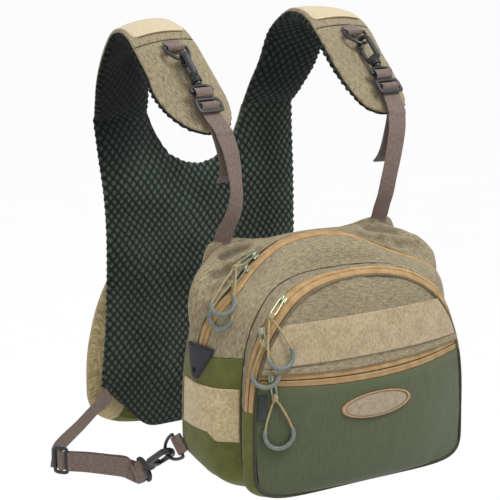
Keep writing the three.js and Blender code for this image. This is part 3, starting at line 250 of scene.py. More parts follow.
def angle_at(st, z):
    up_ = z >= st["zWide"]
    f = np.where(up_, (z - st["zWide"]) / (st["zTop"] - st["zWide"]), (st["zWide"] - z) / (st["zWide"] - st["zLow"]))
    q = np.degrees(np.arcsin(np.minimum(1, np.abs(f) ** (np.where(up_, st["nTop"], st["nLow"]) / 2))))
    return np.where(up_, q, -q)


def bag_point(s, phi):
    s, phi = np.broadcast_arrays(np.asarray(s, float), np.asarray(phi, float))
    sc = np.clip(s, 0, 6)
    p = loop_point(seam_at(sc), phi)
    q = fold_angle(phi)
    ear = EAR["out"] * np.maximum(0, 1 - s) * gauss(q - EAR["at"], EAR["spread"])
    sw = swell_at(sc)
    out, sag = sw["out"] * gauss(q - sw["at"], 18.0), sw["sag"] * gauss(q - 63.0, 15.0)
    return p + np.stack([np.sign(p[..., 0]) * (ear * math.cos(EAR["lean"]) + out), 0 * q, ear * math.sin(EAR["lean"]) - sag], -1)


def even_angles(st, lo, hi, at):
    """Angles at even shares of a seam's length."""
    fine = np.linspace(lo, hi, 721)
    pts = loop_point({k: np.full(fine.shape, float(v)) for k, v in st.items()}, fine)
    run = np.concatenate([[0], np.cumsum(np.linalg.norm(np.diff(pts, axis=0), axis=1))])
    return np.interp(np.asarray(at) * run[-1], run, fine)


def edge_steps(count, length, ends=(0.0, 0.35, 0.9, 1.7, 2.8)):
    """Shares from 0 to 1, close together at both ends so that an edge can roll."""
    e = np.array(ends) / length
    return np.concatenate([e, np.linspace(e[-1], 1 - e[-1], count)[1:-1], 1 - e[::-1]])


def roll(u, v, lu, lv, radius=1.4, deep=1.1):
    """How far the rolled rim of a piece drops, by distance to its nearest edge."""
    d = np.minimum(np.minimum(u, 1 - u) * lu, np.minimum(v, 1 - v) * lv)
    k = np.clip(1 - d / radius, 0, 1)
    return -deep * (1 - np.sqrt(1 - k * k * 0.999))


# ------------------------------------------------------------ meshes
PIECES = []


def make(name, verts, faces, mat, uv=None, place=None, sharp=48.0, body="pack", nodes=(), slot=None):
    """A piece from sketch-mm vertices and faces (a quad or triangle array, or a list of arrays)."""
    me = bpy.data.meshes.new(name)
    groups = faces if isinstance(faces, list) else [faces]
    groups = [np.asarray(g, int) for g in groups if len(g)]
    loops = np.concatenate([g.ravel() for g in groups])
    sizes = np.concatenate([np.full(len(g), g.shape[1]) for g in groups])
    starts = np.concatenate([[0], np.cumsum(sizes)[:-1]])
    co = (np.asarray(verts, float) - SEAT) * MM
    # turn it to face outwards by its signed volume
    vol = 0.0
    for g in groups:
        for k in range(1, g.shape[1] - 1):
            vol += np.einsum("ij,ij->i", co[g[:, 0]], np.cross(co[g[:, k]], co[g[:, k + 1]])).sum()
    if vol < 0:
        loops = np.concatenate([g[:, ::-1].ravel() for g in groups])
    me.vertices.add(len(co))
    me.vertices.foreach_set("co", co.astype(np.float32).ravel())
    me.loops.add(len(loops))
    me.loops.foreach_set("vertex_index", loops.astype(np.int32))
    me.polygons.add(len(sizes))
    me.polygons.foreach_set("loop_start", starts.astype(np.int32))
    me.update(calc_edges=True)
    me.validate()
    for layer, data in (("Cloth", uv), ("Place", place)):
        if data is not None:
            idx = np.empty(len(me.loops), np.int32)
            me.loops.foreach_get("vertex_index", idx)
            lay = me.uv_layers.new(name=layer)
            lay.data.foreach_set("uv", np.asarray(data, np.float32)[idx].ravel())
    me.shade_smooth()
    if sharp:
        me.set_sharp_from_angle(angle=math.radians(sharp))
    o = bpy.data.objects.new(name, me)
    scene.collection.objects.link(o)
    me.materials.append(mat)
    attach(o, body)
    if nodes:
        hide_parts(*nodes)
    PIECES.append(o)
    return o


def grid_faces(n, m, base=0, loop_n=False, loop_m=False):
    i = np.arange(n if loop_n else n - 1)[:, None]
    j = np.arange(m if loop_m else m - 1)[None, :]
    a, b = base + i * m + j, base + ((i + 1) % n) * m + j
    c, d = base + ((i + 1) % n) * m + (j + 1) % m, base + i * m + (j + 1) % m
    return np.stack(np.broadcast_arrays(a, b, c, d), -1).reshape(-1, 4)


def shell_faces(n, m):
    """Two sheets on the same grid joined round their rim."""
    N = n * m
    f = [grid_faces(n, m), grid_faces(n, m, N)[:, ::-1]]
    i, j = np.arange(n - 1), np.arange(m - 1)
    f.append(np.stack([i * m, N + i * m, N + (i + 1) * m, (i + 1) * m], -1))
    f.append(np.stack([i * m + m - 1, (i + 1) * m + m - 1, N + (i + 1) * m + m - 1, N + i * m + m - 1], -1))
    e = (n - 1) * m
    f.append(np.stack([j, j + 1, N + j + 1, N + j], -1))
    f.append(np.stack([e + j, N + e + j, N + e + j + 1, e + j + 1], -1))
    return np.concatenate(f)


def grid_normals(P, outward):
    du, dv = np.gradient(P, axis=0), np.gradient(P, axis=1)
    n = norm(np.cross(du, dv))
    flip = np.where((n * outward(P)).sum(-1, keepdims=True) < 0, -1.0, 1.0)
    return n * flip


def run_lengths(P):
    """Millimetres along both directions of a grid."""
    a = np.concatenate([np.zeros((1, P.shape[1])), np.cumsum(np.linalg.norm(np.diff(P, axis=0), axis=-1), 0)])
    b = np.concatenate([np.zeros((P.shape[0], 1)), np.cumsum(np.linalg.norm(np.diff(P, axis=1), axis=-1), 1)], 1)
    return a, b


def cloth(name, P, outward, mat, lift=0.0, thick=CLOTH, uv=None, place=None, **kw):
    """A cloth piece from its surface grid; lift may vary over the grid."""
    N = grid_normals(P, outward)
    lift = np.broadcast_to(lift, P.shape[:2])[..., None]
    outer = P + N * lift
    inner = P + N * (np.minimum(lift, lift * 0.5) - np.broadcast_to(thick, P.shape[:2])[..., None])
    n, m = P.shape[:2]
    if uv is None:
        a, b = run_lengths(P)
        uv = np.stack([b - b[:, -1:] / 2, a], -1)
    if place is None:
        place = np.stack(np.meshgrid(np.linspace(0, 1, n), np.linspace(0, 1, m), indexing="ij"), -1)
    both = lambda q: np.concatenate([q.reshape(-1, q.shape[-1])] * 2)
    return make(name, np.concatenate([outer.reshape(-1, 3), inner.reshape(-1, 3)]), shell_faces(n, m), mat, both(uv), both(place), **kw)


def catmull(points, spacing, loop=False):
    """Evenly spaced points of a smooth curve through a few places."""
    p = np.array(points, float)
    n = len(p)
    at = (lambda i: p[i % n]) if loop else (lambda i: p[max(0, min(n - 1, i))] if 0 <= i < n else (2 * p[0] - p[1] if i < 0 else 2 * p[-1] - p[-2]))
    out = []
    for i in range(n if loop else n - 1):
        a, b, c, d = at(i - 1), at(i), at(i + 1), at(i + 2)
        t = np.linspace(0, 1, 24, endpoint=False)[:, None]
        out.append(0.5 * (2 * b + (c - a) * t + (2 * a - 5 * b + 4 * c - d) * t ** 2 + (3 * b - a - 3 * c + d) * t ** 3))
    q = np.concatenate(out + ([p[:1]] if loop else [p[-1:]]))
    run = np.concatenate([[0], np.cumsum(np.linalg.norm(np.diff(q, axis=0), axis=1))])
    k = max(3, int(round(run[-1] / spacing)))
    s = np.linspace(0, run[-1], k + 1)
    q = np.stack([np.interp(s, run, q[:, c]) for c in range(3)], -1)
    return q[:-1] if loop else q


def chaikin(p, times, loop=True):
    p = np.array(p, float)
    for _ in range(times):
        q = np.roll(p, -1, 0) if loop else p[1:]
        a = p if loop else p[:-1]
        new = np.stack([0.75 * a + 0.25 * q, 0.25 * a + 0.75 * q], 1).reshape(-1, p.shape[1])
        p = new if loop else np.concatenate([p[:1], new, p[-1:]])
    return p


def sweep_rings(path, section, lead, loop=False, scale=None):
    """Rings of a flat section carried along a path; lead is kept as the section's second axis."""
    p = np.asarray(path, float)
    nxt = np.roll(p, -1, 0) if loop else np.concatenate([p[1:], p[-1:] * 2 - p[-2:-1]])
    prv = np.roll(p, 1, 0) if loop else np.concatenate([p[:1] * 2 - p[1:2], p[:-1]])
    t = norm(nxt - prv)
    L = np.broadcast_to(np.asarray(lead, float), p.shape)
    h = norm(L - (L * t).sum(-1, keepdims=True) * t)
    w = np.cross(h, t)
    sec = np.broadcast_to(np.asarray(section, float), (len(p),) + np.shape(section)[-2:])
    if scale is not None:
        sec = sec * np.asarray(scale)[:, None, None]
    return p[:, None] + sec[..., :1] * w[:, None] + sec[..., 1:] * h[:, None]


def tube_mesh(rings, loop=False, base=0):
    """Vertices and faces of joined rings, with fans at open ends."""
    n, k = rings.shape[:2]
    v = rings.reshape(-1, 3)
    f = [grid_faces(n, k, base, loop_n=loop, loop_m=True)]
    if not loop:
        v = np.concatenate([v, rings[:1].mean(1), rings[-1:].mean(1)])
        j = np.arange(k)
        tri = np.concatenate([np.stack([np.full(k, base + n * k), (j + 1) % k + base, j + base], -1),
                              np.stack([np.full(k, base + n * k + 1), (n - 1) * k + j + base, (n - 1) * k + (j + 1) % k + base], -1)])
        f.append(tri)
    return v, f


def gather(parts):
    """Several closed meshes as one."""
    V, quads, tris, base = [], [], [], 0
    for v, f in parts:
        # each shell faces outwards by itself
        vol = 0.0
        for g in f:
            for k in range(1, g.shape[1] - 1):
                vol += np.einsum("ij,ij->i", v[g[:, 0]], np.cross(v[g[:, k]], v[g[:, k + 1]])).sum()
        for g in f:
            g = g[:, ::-1] if vol < 0 else g
            (quads if g.shape[1] == 4 else tris).append(g + base)
        V.append(v)
        base += len(v)
    out = [np.concatenate(q) for q in (quads, tris) if q]
    return np.concatenate(V), out


def super_section(a, b, power=3.0, count=20):
    q = np.linspace(0, 2 * np.pi, count, endpoint=False)
    c, s = np.cos(q), np.sin(q)
    return np.stack([a * np.sign(c) * np.abs(c) ** (2 / power), b * np.sign(s) * np.abs(s) ** (2 / power)], -1)


def frame_of(origin, a, b):
    A = unit(a)
    B = np.asarray(b, float)
    B = unit(B - (B @ A) * A)
    H = np.cross(A, B)
    O = np.asarray(origin, float)
    f = lambda p, q, r: O + np.multiply.outer(p, A) + np.multiply.outer(q, B) + np.multiply.outer(r, H)
    f.O, f.A, f.B, f.H = O, A, B, H
    return f


# ------------------------------------------------------------ materials
def srgb(r, g, b, gain=(1.0, 1.0, 1.0)):
    return tuple(k_ * ((c / 255) / 12.92 if c <= 10 else ((c / 255 + 0.055) / 1.055) ** 2.4) for c, k_ in zip((r, g, b), gain)) + (1.0,)


def toned(gain, *colours):
    """Colours as seen, brought down to what the studio light needs them to be."""
    return tuple(srgb(*c, gain) for c in colours)


class Look:
    """A small builder of procedural materials."""

    def __init__(self, name, rough=0.9, sheen=0.0, metal=0.0, spec=0.3):
        self.m = bpy.data.materials.new(name)
        self.m.use_nodes = True
        self.t = self.m.node_tree
        self.b = self.t.nodes["Principled BSDF"]
        self.b.inputs["Roughness"].default_value = rough
        self.b.inputs["Metallic"].default_value = metal
        self.b.inputs["Specular IOR Level"].default_value = spec
        self.b.inputs["Sheen Weight"].default_value = sheen
        self.b.inputs["Sheen Roughness"].default_value = 0.5

    def node(self, kind, **props):
        n = self.t.nodes.new(kind)
        for k, v in props.items():
            setattr(n, k, v)
        return n

    def put(self, socket, v):
        if hasattr(v, "is_linked"):
            self.t.links.new(v, socket)
        else:
            socket.default_value = v

    def math(self, op, a, b=0.0, c=0.0, clamp=False):
        n = self.node("ShaderNodeMath", operation=op, use_clamp=clamp)
        for s, v in zip(n.inputs, (a, b, c)):
            self.put(s, v)
        return n.outputs[0]

    def uv(self, layer="Cloth"):
        n = self.node("ShaderNodeUVMap", uv_map=layer)
        s = self.node("ShaderNodeSeparateXYZ")
        self.t.links.new(n.outputs["UV"], s.inputs[0])
        return s.outputs[0], s.outputs[1], n.outputs["UV"]

    def where(self):
        n = self.node("ShaderNodeTexCoord")
        s = self.node("ShaderNodeSeparateXYZ")
        self.t.links.new(n.outputs["Object"], s.inputs[0])
        return s.outputs[0], s.outputs[1], s.outputs[2], n.outputs["Object"]

    def noise(self, vec, scale, detail=2.0, rough=0.5):
        """scale: one number, or one for each axis (features per unit of the vector)."""
        n = self.node("ShaderNodeTexNoise")
        if isinstance(scale, (tuple, list)):
            mp = self.node("ShaderNodeMapping")
            self.t.links.new(vec, mp.inputs["Vector"])
            mp.inputs["Scale"].default_value = scale
            vec, scale = mp.outputs[0], 1.0
        self.t.links.new(vec, n.inputs["Vector"])
        n.inputs["Scale"].default_value = scale
        n.inputs["Detail"].default_value = detail
        n.inputs["Roughness"].default_value = rough
        return n.outputs[0]

    def ramp(self, v, stops):
        n = self.node("ShaderNodeValToRGB")
        self.put(n.inputs[0], v)
        e = n.color_ramp.elements
        while len(e) < len(stops):
            e.new(0.5)
        for el, (pos, col) in zip(e, stops):
            el.position, el.color = pos, col
        return n.outputs[0]

    def blend(self, f, a, b, kind="MIX"):
        n = self.node("ShaderNodeMix", data_type="RGBA", blend_type=kind)
        self.put(n.inputs[0], f)
        self.put(n.inputs[6], a)
        self.put(n.inputs[7], b)
        return n.outputs[2]

    def bump(self, h, strength=0.5, mm=0.3, prev=None):
        n = self.node("ShaderNodeBump")
        n.inputs["Strength"].default_value = strength
        n.inputs["Distance"].default_value = mm * MM
        self.put(n.inputs["Height"], h)
        if prev is not None:
            self.t.links.new(prev, n.inputs["Normal"])
        return n.outputs[0]

    def done(self, colour, bump=None, rough=None):
        self.put(self.b.inputs["Base Color"], colour)
        if bump is not None:
            self.t.links.new(bump, self.b.inputs["Normal"])
        if rough is not None:
            self.put(self.b.inputs["Roughness"], rough)
        return self.m

    def sine(self, v, period, shift=0.0):
        return self.math("SINE", self.math("MULTIPLY_ADD", v, 2 * math.pi / period, shift))

    def near(self, v, at, half, soft):
        """1 within half of a value, fading over soft."""
        d = self.math("ABSOLUTE", self.math("SUBTRACT", v, at))
        return self.math("SUBTRACT", 1.0, self.math("SMOOTH_MIN", 1.0, self.math("MAXIMUM", 0.0, self.math("DIVIDE", self.math("SUBTRACT", d, half), soft)), 0.05))

    def weave(self, u, v, pitch):
        return self.math("MULTIPLY", self.sine(u, pitch), self.sine(v, pitch))


def melange(name, mid, light, dark, sheen=0.04, turn=False):
    """Two-tone woven cloth: short weft streaks crossed by fainter warp ones over a fine plain weave, with painted shade
    in the folds' hollows.
    """
    k = Look(name, 0.92, sheen)
    u, v, vec = k.uv()
    long_, short_ = ((0.95, 0.13, 1.0), (0.2, 0.9, 1.0)) if turn else ((0.13, 0.95, 1.0), (0.9, 0.2, 1.0))
    streaks = k.noise(vec, long_, 3.0, 0.62)
    cross = k.noise(vec, short_, 3.0, 0.6)
    fine = k.noise(vec, 1.1, 2.0, 0.6)
    tone = k.math("MULTIPLY_ADD", streaks, 0.5, k.math("MULTIPLY_ADD", cross, 0.3, k.math("MULTIPLY", fine, 0.2)))
    col = k.ramp(tone, [(0.40, dark), (0.5, mid), (0.60, light)])
    x, y, z, obj = k.where()
    big = k.noise(obj, 22.0, 2.0)
    col = k.blend(k.math("MULTIPLY", k.math("SUBTRACT", big, 0.35, clamp=True), 0.4), col, dark)
    # painted shade: the colour goes towards a near-black khaki in the folds' hollows, by the fold depth stored on the
    # mesh
    deep = k.node("ShaderNodeAttribute", attribute_name="Hollow").outputs["Fac"]
    col = k.blend(k.math("MULTIPLY", deep, 0.6), col, tuple(c * 0.35 for c in dark[:3]) + (1.0,))
    w = k.weave(u, v, 0.9)
    return k, u, v, col, k.bump(k.math("MULTIPLY_ADD", w, 0.3, k.math("MULTIPLY", tone, 0.6)), 0.5, 0.3)


KHAKI_GAIN = (0.72, 0.74, 0.74)
KHAKI = toned(KHAKI_GAIN, (150, 136, 108), (178, 163, 132), (112, 102, 83))


def khaki_look(name="Khaki", turn=False, deep=1.0):
    # deep below 1 gives a darker copy of the khaki, used as painted shade on the front panel
    k, u, v, col, b = melange(name, *[tuple(c * deep for c in col_[:3]) + (1.0,) for col_ in KHAKI], turn=turn)
    return k.done(col, b)


def plain_cloth(name, mid, dark, light, sheen=0.2, pitch=1.0, nap=0.0):
    k = Look(name, 0.9, sheen)
    u, v, vec = k.uv()
    x, y, z, obj = k.where()
    mott = k.noise(obj, 60.0, 4.0, 0.6)
    soft = k.noise(vec, 0.6 + nap, 3.0, 0.6)
    tone = k.math("MULTIPLY_ADD", mott, 0.5, k.math("MULTIPLY", soft, 0.5))
    reach = 0.19
    if nap:
        # napped cloth shows a grain that runs a little upright
        grain = k.noise(vec, (0.5, 0.24, 1.0), 4.0, 0.7)
        tone = k.math("MULTIPLY_ADD", grain, 0.5, k.math("MULTIPLY", tone, 0.5))
        reach = 0.05
    col = k.ramp(tone, [(0.5 - reach, dark), (0.5, mid), (0.5 + reach, light)])
    h = k.math("MULTIPLY_ADD", k.weave(u, v, pitch), 0.3, soft)
    return k.done(col, k.bump(h, 0.5, 0.3))


def zip_look(name, mid, dark, light, line, ends_only):
    """Coil-zip tape: faint cross ribs, painted shade in the slit down its middle, and darker edges that are partly dark
    hem and partly painted shadow of the neighbouring cloth (Place y is across).
    """
    k = Look(name, 0.8, 0.1)
    u, v, vec = k.uv()
    pu, pv, _ = k.uv("Place")
    ribs = k.sine(u, 1.3)
    tone = k.math("MULTIPLY_ADD", k.noise(vec, 0.09, 2.0), 0.8, k.math("MULTIPLY", ribs, 0.008))
    col = k.ramp(tone, [(0.22, dark), (0.4, mid), (0.58, light)])
    # painted shade in the slit between the two tapes; on the main zip only towards its ends
    slit_shade = k.near(pv, 0.5, 0.02, 0.03)
    if ends_only:
        off = k.math("ABSOLUTE", k.math("SUBTRACT", pu, 0.5))
        slit_shade = k.math("MULTIPLY", slit_shade, k.math("MULTIPLY_ADD", k.math("MULTIPLY", k.math("SUBTRACT", off, 0.36), 14.0, clamp=True), 0.85, 0.03))
    # darker edges: partly the dark hems, partly painted shadow where the neighbouring cloth lies over the tape
    edge = k.math("ADD", k.near(pv, 0.0, 0.03, 0.05), k.near(pv, 1.0, 0.03, 0.05), clamp=True)
    col = k.blend(slit_shade, col, line)
    col = k.blend(k.math("MULTIPLY", edge, 0.85), col, line)
    return k.done(col, k.bump(ribs, 0.12, 0.12))


def dark_look(name, mid, light, rough=0.45, spec=0.5, grain=900.0):
    """Moulded plastic or lacquered wire: faint mottling, handling scuffs and satin bloom."""
    k = Look(name, rough, 0.0, 0.0, spec)
    x, y, z, obj = k.where()
    n = k.noise(obj, 120.0, 4.0, 0.6)
    col = k.ramp(n, [(0.3, mid), (0.75, light)])
    g = k.noise(obj, grain, 2.0)
    return k.done(col, k.bump(g, 0.18, 0.12), k.math("MULTIPLY_ADD", n, 0.25, rough - 0.12))


def webbing_look():
    k = Look("Webbing", 0.85, 0.1)
    u, v, vec = k.uv()
    rib = k.sine(v, 1.5)
    cross = k.sine(k.math("MULTIPLY_ADD", k.math("PINGPONG", u, 2.5), 1.0, v), 2.2)
    tone = k.math("MULTIPLY_ADD", k.math("ADD", rib, cross), 0.06, k.noise(vec, (0.9, 0.25, 1.0), 3.0))
    dark, mid, light = toned((0.69, 0.69, 0.69), (100, 86, 80), (126, 108, 100), (146, 128, 118))
    col = k.ramp(tone, [(0.28, dark), (0.5, mid), (0.74, light)])
    return k.done(col, k.bump(k.math("ADD", rib, cross), 0.5, 0.25))


MESH_U, MESH_V = 8.5, 5.1
# slow waves that pull the mesh's lattice out of true: into u or v, how far, along u, along v, phase
MESH_WARP = [("u", 1.3, 0.043, 0.071, 0.7), ("u", 0.9, -0.029, 0.118, 0.0), ("v", 1.1, 0.083, 0.017, 1.9), ("v", 0.9, 0.037, 0.061, 0.4)]


def mesh_look():
    """Spacer mesh: pale pillows parted by dark crossing lines, on the same lattice as the relief, with painted shade
    high under the arms, towards the left and at the bottom.
    """
    k = Look("Spacer", 0.95, 0.05, spec=0.15)
    u, v, vec = k.uv()
    at = {"u": u, "v": v}
    for into, far, ku, kv, phase in MESH_WARP:
        at[into] = k.math("MULTIPLY_ADD", k.math("SINE", k.math("MULTIPLY_ADD", u, ku, k.math("MULTIPLY_ADD", v, kv, phase))), far, at[into])
    both = k.math("ADD", k.math("COSINE", k.math("MULTIPLY", at["u"], 2 * math.pi / MESH_U)), k.math("COSINE", k.math("MULTIPLY", at["v"], math.pi / MESH_V)))
    cell = k.math("POWER", k.math("MULTIPLY", k.math("ABSOLUTE", both), 0.5), 0.8)
    knit = k.math("MULTIPLY", k.sine(u, 1.1), k.sine(v, 0.9))
    tone = k.math("ADD", k.math("MULTIPLY_ADD", cell, 0.56, 0.18), k.math("MULTIPLY", k.math("SUBTRACT", k.noise(vec, 0.5, 3.0), 0.5), 0.30))
    tone = k.math("MULTIPLY_ADD", knit, 0.04, tone)
    low, mid, high = toned((0.91, 0.87, 0.84), (12, 17, 15), (46, 56, 51), (108, 122, 113))
    x, y, z, obj = k.where()
    tone = k.math("MULTIPLY_ADD", k.math("SUBTRACT", k.noise(obj, 20.0, 1.0), 0.5), 0.35, tone)
    col = k.ramp(tone, [(0.15, low), (0.45, mid), (0.95, high)])
    # painted shade by position: darker high under the arms, towards the left and at the bottom
    shade = k.math("MULTIPLY", k.math("ADD", z, 0.160), 12.0, clamp=True)
    shade_left = k.math("MULTIPLY", k.math("SUBTRACT", 0.06, x), 4.0, clamp=True)
    shade_low = k.math("MULTIPLY", k.math("SUBTRACT", -0.345, z), 8.0, clamp=True)
    painted_shade = k.math("MULTIPLY_ADD", shade, 0.66, k.math("MULTIPLY_ADD", shade_left, 0.40, k.math("MULTIPLY", shade_low, 0.45)))
    col = k.blend(k.math("MINIMUM", painted_shade, 0.88), col, srgb(10, 13, 12))
    return k.done(col, k.bump(knit, 0.5, 0.3))


def ribbed_look():
    k = Look("GreenRib", 0.9, 0.12)
    u, v, vec = k.uv()
    pu, pv, _ = k.uv("Place")
    rib = k.sine(u, 2.6)
    tone = k.math("ADD", k.math("MULTIPLY_ADD", rib, 0.025, 0.3), k.math("MULTIPLY", k.noise(vec, (0.5, 0.1, 1.0), 3.0), 0.4))
    gain = (0.57, 0.57, 0.47)
    dark, mid, light, hemc, deep = toned(gain, (78, 86, 68), (92, 100, 78), (106, 113, 90), (96, 103, 80), (82, 89, 70))
    col = k.ramp(tone, [(0.3, dark), (0.5, mid), (0.75, light)])
    hem = k.math("SMOOTH_MAX", 0.0, k.math("MINIMUM", 1.0, k.math("MULTIPLY", k.math("SUBTRACT", pv, 0.925), 80.0)), 0.02)
    col = k.blend(hem, col, hemc)
    x, y, z, obj = k.where()
    big = k.noise(obj, 18.0, 2.0)
    col = k.blend(k.math("MULTIPLY", k.math("SUBTRACT", big, 0.45, clamp=True), 0.8), col, deep)
    return k.done(col, k.bump(k.math("MULTIPLY", rib, 0.5), 0.2, 0.2))


OLIVE_GAIN = (0.74, 0.71, 0.50)
OLIVE = toned(OLIVE_GAIN, (95, 100, 57), (80, 84, 47), (110, 114, 67))


def two_tone_look(name, z_mm, olive_below=True):
    """Khaki melange, lightened as painted light, above a sewn line and olive below it, by height."""
    # the khaki is a lighter copy of the bag's khaki: painted light on the pouch
    k, u, v, col, b = melange(name, *toned((1.02, 1.0, 0.84), (150, 136, 108), (178, 163, 132), (112, 102, 83)), turn=True)
    x, y, z, obj = k.where()
    beyond = k.math("MAXIMUM", k.math("SUBTRACT", k.math("ABSOLUTE", x), 0.091), 0.0)
    at = k.math("MULTIPLY_ADD", beyond, -1.1, (z_mm - SEAT[2]) * MM)
    low = k.math("LESS_THAN", z, at)
    olive = k.ramp(k.noise(obj, 90.0, 4.0), [(0.3, OLIVE[1]), (0.5, OLIVE[0]), (0.72, OLIVE[2])])
    col = k.blend(low, col, olive)
    line = k.near(k.math("SUBTRACT", z, at), 0.0, 0.0005, 0.0008)
    col = k.blend(k.math("MULTIPLY", line, 0.8), col, srgb(40, 38, 28))
    return k.done(col, b)


def badge_look():
    k = Look("Badge", 0.6, 0.0, 0.0, 0.4)
    pu, pv, _ = k.uv("Place")
    x, y, z, obj = k.where()
    n = k.noise(obj, 260.0, 4.0, 0.6)
    r0, r1, f0, f1 = toned((0.7, 0.7, 0.68), (160, 122, 88), (186, 148, 112), (148, 131, 111), (174, 156, 134))
    rim = k.ramp(n, [(0.3, r0), (0.6, r1)])
    field = k.ramp(n, [(0.3, f0), (0.7, f1)])
    col = k.blend(k.math("GREATER_THAN", pu, 0.905), field, rim)
    col = k.blend(k.near(pu, 0.892, 0.008, 0.014), col, srgb(70, 60, 52))
    return k.done(col, k.bump(k.noise(obj, 1400.0, 2.0), 0.25, 0.1))


def patch_look():
    """Napped patch with a line of stitching along its two ends (Place x runs along it)."""
    k = Look("TanPatch", 0.9, 0.25)
    u, v, vec = k.uv()
    pu, pv, _ = k.uv("Place")
    soft = k.noise(vec, 0.5, 3.0, 0.6)
    dark, mid, light, thread = toned((0.84, 0.86, 0.90), (176, 158, 124), (192, 174, 140), (206, 189, 156), (112, 92, 62))
    col = k.ramp(soft, [(0.3, dark), (0.5, mid), (0.7, light)])
    edge = k.math("ADD", k.near(pu, 0.0, 0.008, 0.010), k.near(pu, 1.0, 0.008, 0.010), clamp=True)
    col = k.blend(edge, col, thread)
    return k.done(col, k.bump(k.math("MULTIPLY_ADD", k.weave(u, v, 0.8), 0.3, soft), 0.5, 0.3))


def pipe_look():
    """Piping: brown along the zip, dark olive below it."""
    k = Look("FacePiping", 0.9, 0.1)
    x, y, z, obj = k.where()
    n = k.noise(obj, 300.0, 3.0)
    col = k.ramp(n, [(0.3, srgb(84, 74, 54)), (0.7, srgb(108, 95, 71))])
    low = k.ramp(n, [(0.3, srgb(40, 44, 28)), (0.7, srgb(54, 58, 38))])
    return k.done(k.blend(k.math("LESS_THAN", z, (30.0 - SEAT[2]) * MM), col, low), k.bump(n, 0.3, 0.2))


M_KHAKI = khaki_look()
M_PIPE_FACE = pipe_look()
M_KHAKI_ARM = khaki_look("KhakiArm", True)
# a darker copy of the khaki: painted shade on the front panel
M_KHAKI_FRONT_SHADED = khaki_look("KhakiFront", False, 0.88)
TAN = toned((0.58, 0.575, 0.58), (188, 168, 132), (172, 152, 118), (202, 184, 148))
M_TAN = plain_cloth("TanNap", *TAN, 0.25, 0.8, 0.5)
M_PATCH = patch_look()
# the tan nap's colours in a lighter copy: painted light on the side bands
M_TAN_SIDE_LIT = plain_cloth("TanSide", *toned((0.80, 0.79, 0.76), (188, 168, 132), (172, 152, 118), (202, 184, 148)), 0.25, 0.8, 0.5)
M_OLIVE = plain_cloth("Olive", *OLIVE, 0.12, 0.9)
ZIP = toned((0.66, 0.65, 0.58), (184, 150, 106), (166, 130, 86), (200, 170, 128), (58, 46, 33))
ZIP_POCKET = toned((0.66, 0.65, 0.60), (174, 142, 100), (160, 127, 85), (188, 158, 118), (56, 45, 33))
M_ZIP = zip_look("ZipTape", *ZIP, True)
M_ZIP_POCKET = zip_look("PocketZipTape", *ZIP_POCKET, False)
M_MESH = mesh_look()
M_RIB = ribbed_look()
M_WEB = webbing_look()
M_PLASTIC = dark_look("BucklePlastic", srgb(17, 17, 20), srgb(36, 36, 41), 0.36, 0.5)
M_WIRE = dark_look("RingWire", srgb(16, 16, 19), srgb(36, 36, 41), 0.28, 0.6)
M_RUBBER = dark_look("GarageRubber", srgb(36, 34, 41), srgb(50, 48, 56), 0.7, 0.3, 1500.0)
M_PIPE = plain_cloth("Piping", srgb(52, 45, 35), srgb(40, 35, 28), srgb(66, 58, 46), 0.1, 0.7)
M_TAG = plain_cloth("SeamTag", srgb(46, 55, 53), srgb(36, 43, 41), srgb(60, 69, 67), 0.1, 0.6)
M_BADGE = badge_look()
# the pouch's khaki is lightened as painted light
M_POUCH_LIT = two_tone_look("PouchCloth", -60.0)
M_CORD = plain_cloth("PullCord", *toned((0.75, 0.75, 0.75), (166, 150, 108), (132, 118, 84), (188, 172, 130)), 0.1, 0.5)
M_GRIP = dark_look("PullGrip", srgb(86, 92, 88), srgb(108, 114, 108), 0.5, 0.4)
k = Look("SliderMetal", 0.35, 0.0, 0.75, 0.5)
_, _, _, obj_ = k.where()
n_ = k.noise(obj_, 300.0, 3.0)
M_SLIDER = k.done(k.ramp(n_, [(0.3, srgb(128, 132, 110)), (0.7, srgb(166, 170, 145))]), k.bump(n_, 0.1, 0.1))

# ------------------------------------------------------------ floor
fv = np.array([(-60000, -60000, -1900), (60000, -60000, -1900), (60000, 60000, -1900), (-60000, 60000, -1900)], float)
fm = bpy.data.meshes.new("Floor")
fm.from_pydata(((fv - SEAT) * MM).tolist(), [], [(0, 1, 2, 3)])
floor = bpy.data.objects.new("Floor", fm)
scene.collection.objects.link(floor)
kf = Look("PaleFloor", 0.9, 0.0, 0.0, 0.1)
_, _, _, fo = kf.where()
fm.materials.append(kf.done(kf.ramp(kf.noise(fo, 3.0), [(0.3, (0.965, 0.965, 0.965, 1)), (0.7, (0.975, 0.975, 0.975, 1))])))
floor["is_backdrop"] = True

# ------------------------------------------------------------ bag cloth
BAG_MID = np.array([0.0, -60.0, 25.0])
bag_out = lambda P: (P - BAG_MID) * np.array([1.0, 0.25, 1.0])


def run_grid(sa, sb, z, over, us, vs):
    """Surface grid of a gusset run: rows by seam, columns round the bag."""
    rows = []
    for u in us:
        s = mix(sa, sb, u)
        st = {c: float(v) for c, v in seam_at(s).items()}
        q = float(angle_at({c: np.array(v) for c, v in st.items()}, np.array(z)))
        rows.append(bag_point(np.full(len(vs), s), even_angles(st, q, 180 - q if over else -180 - q, vs)))
    return np.stack(rows)


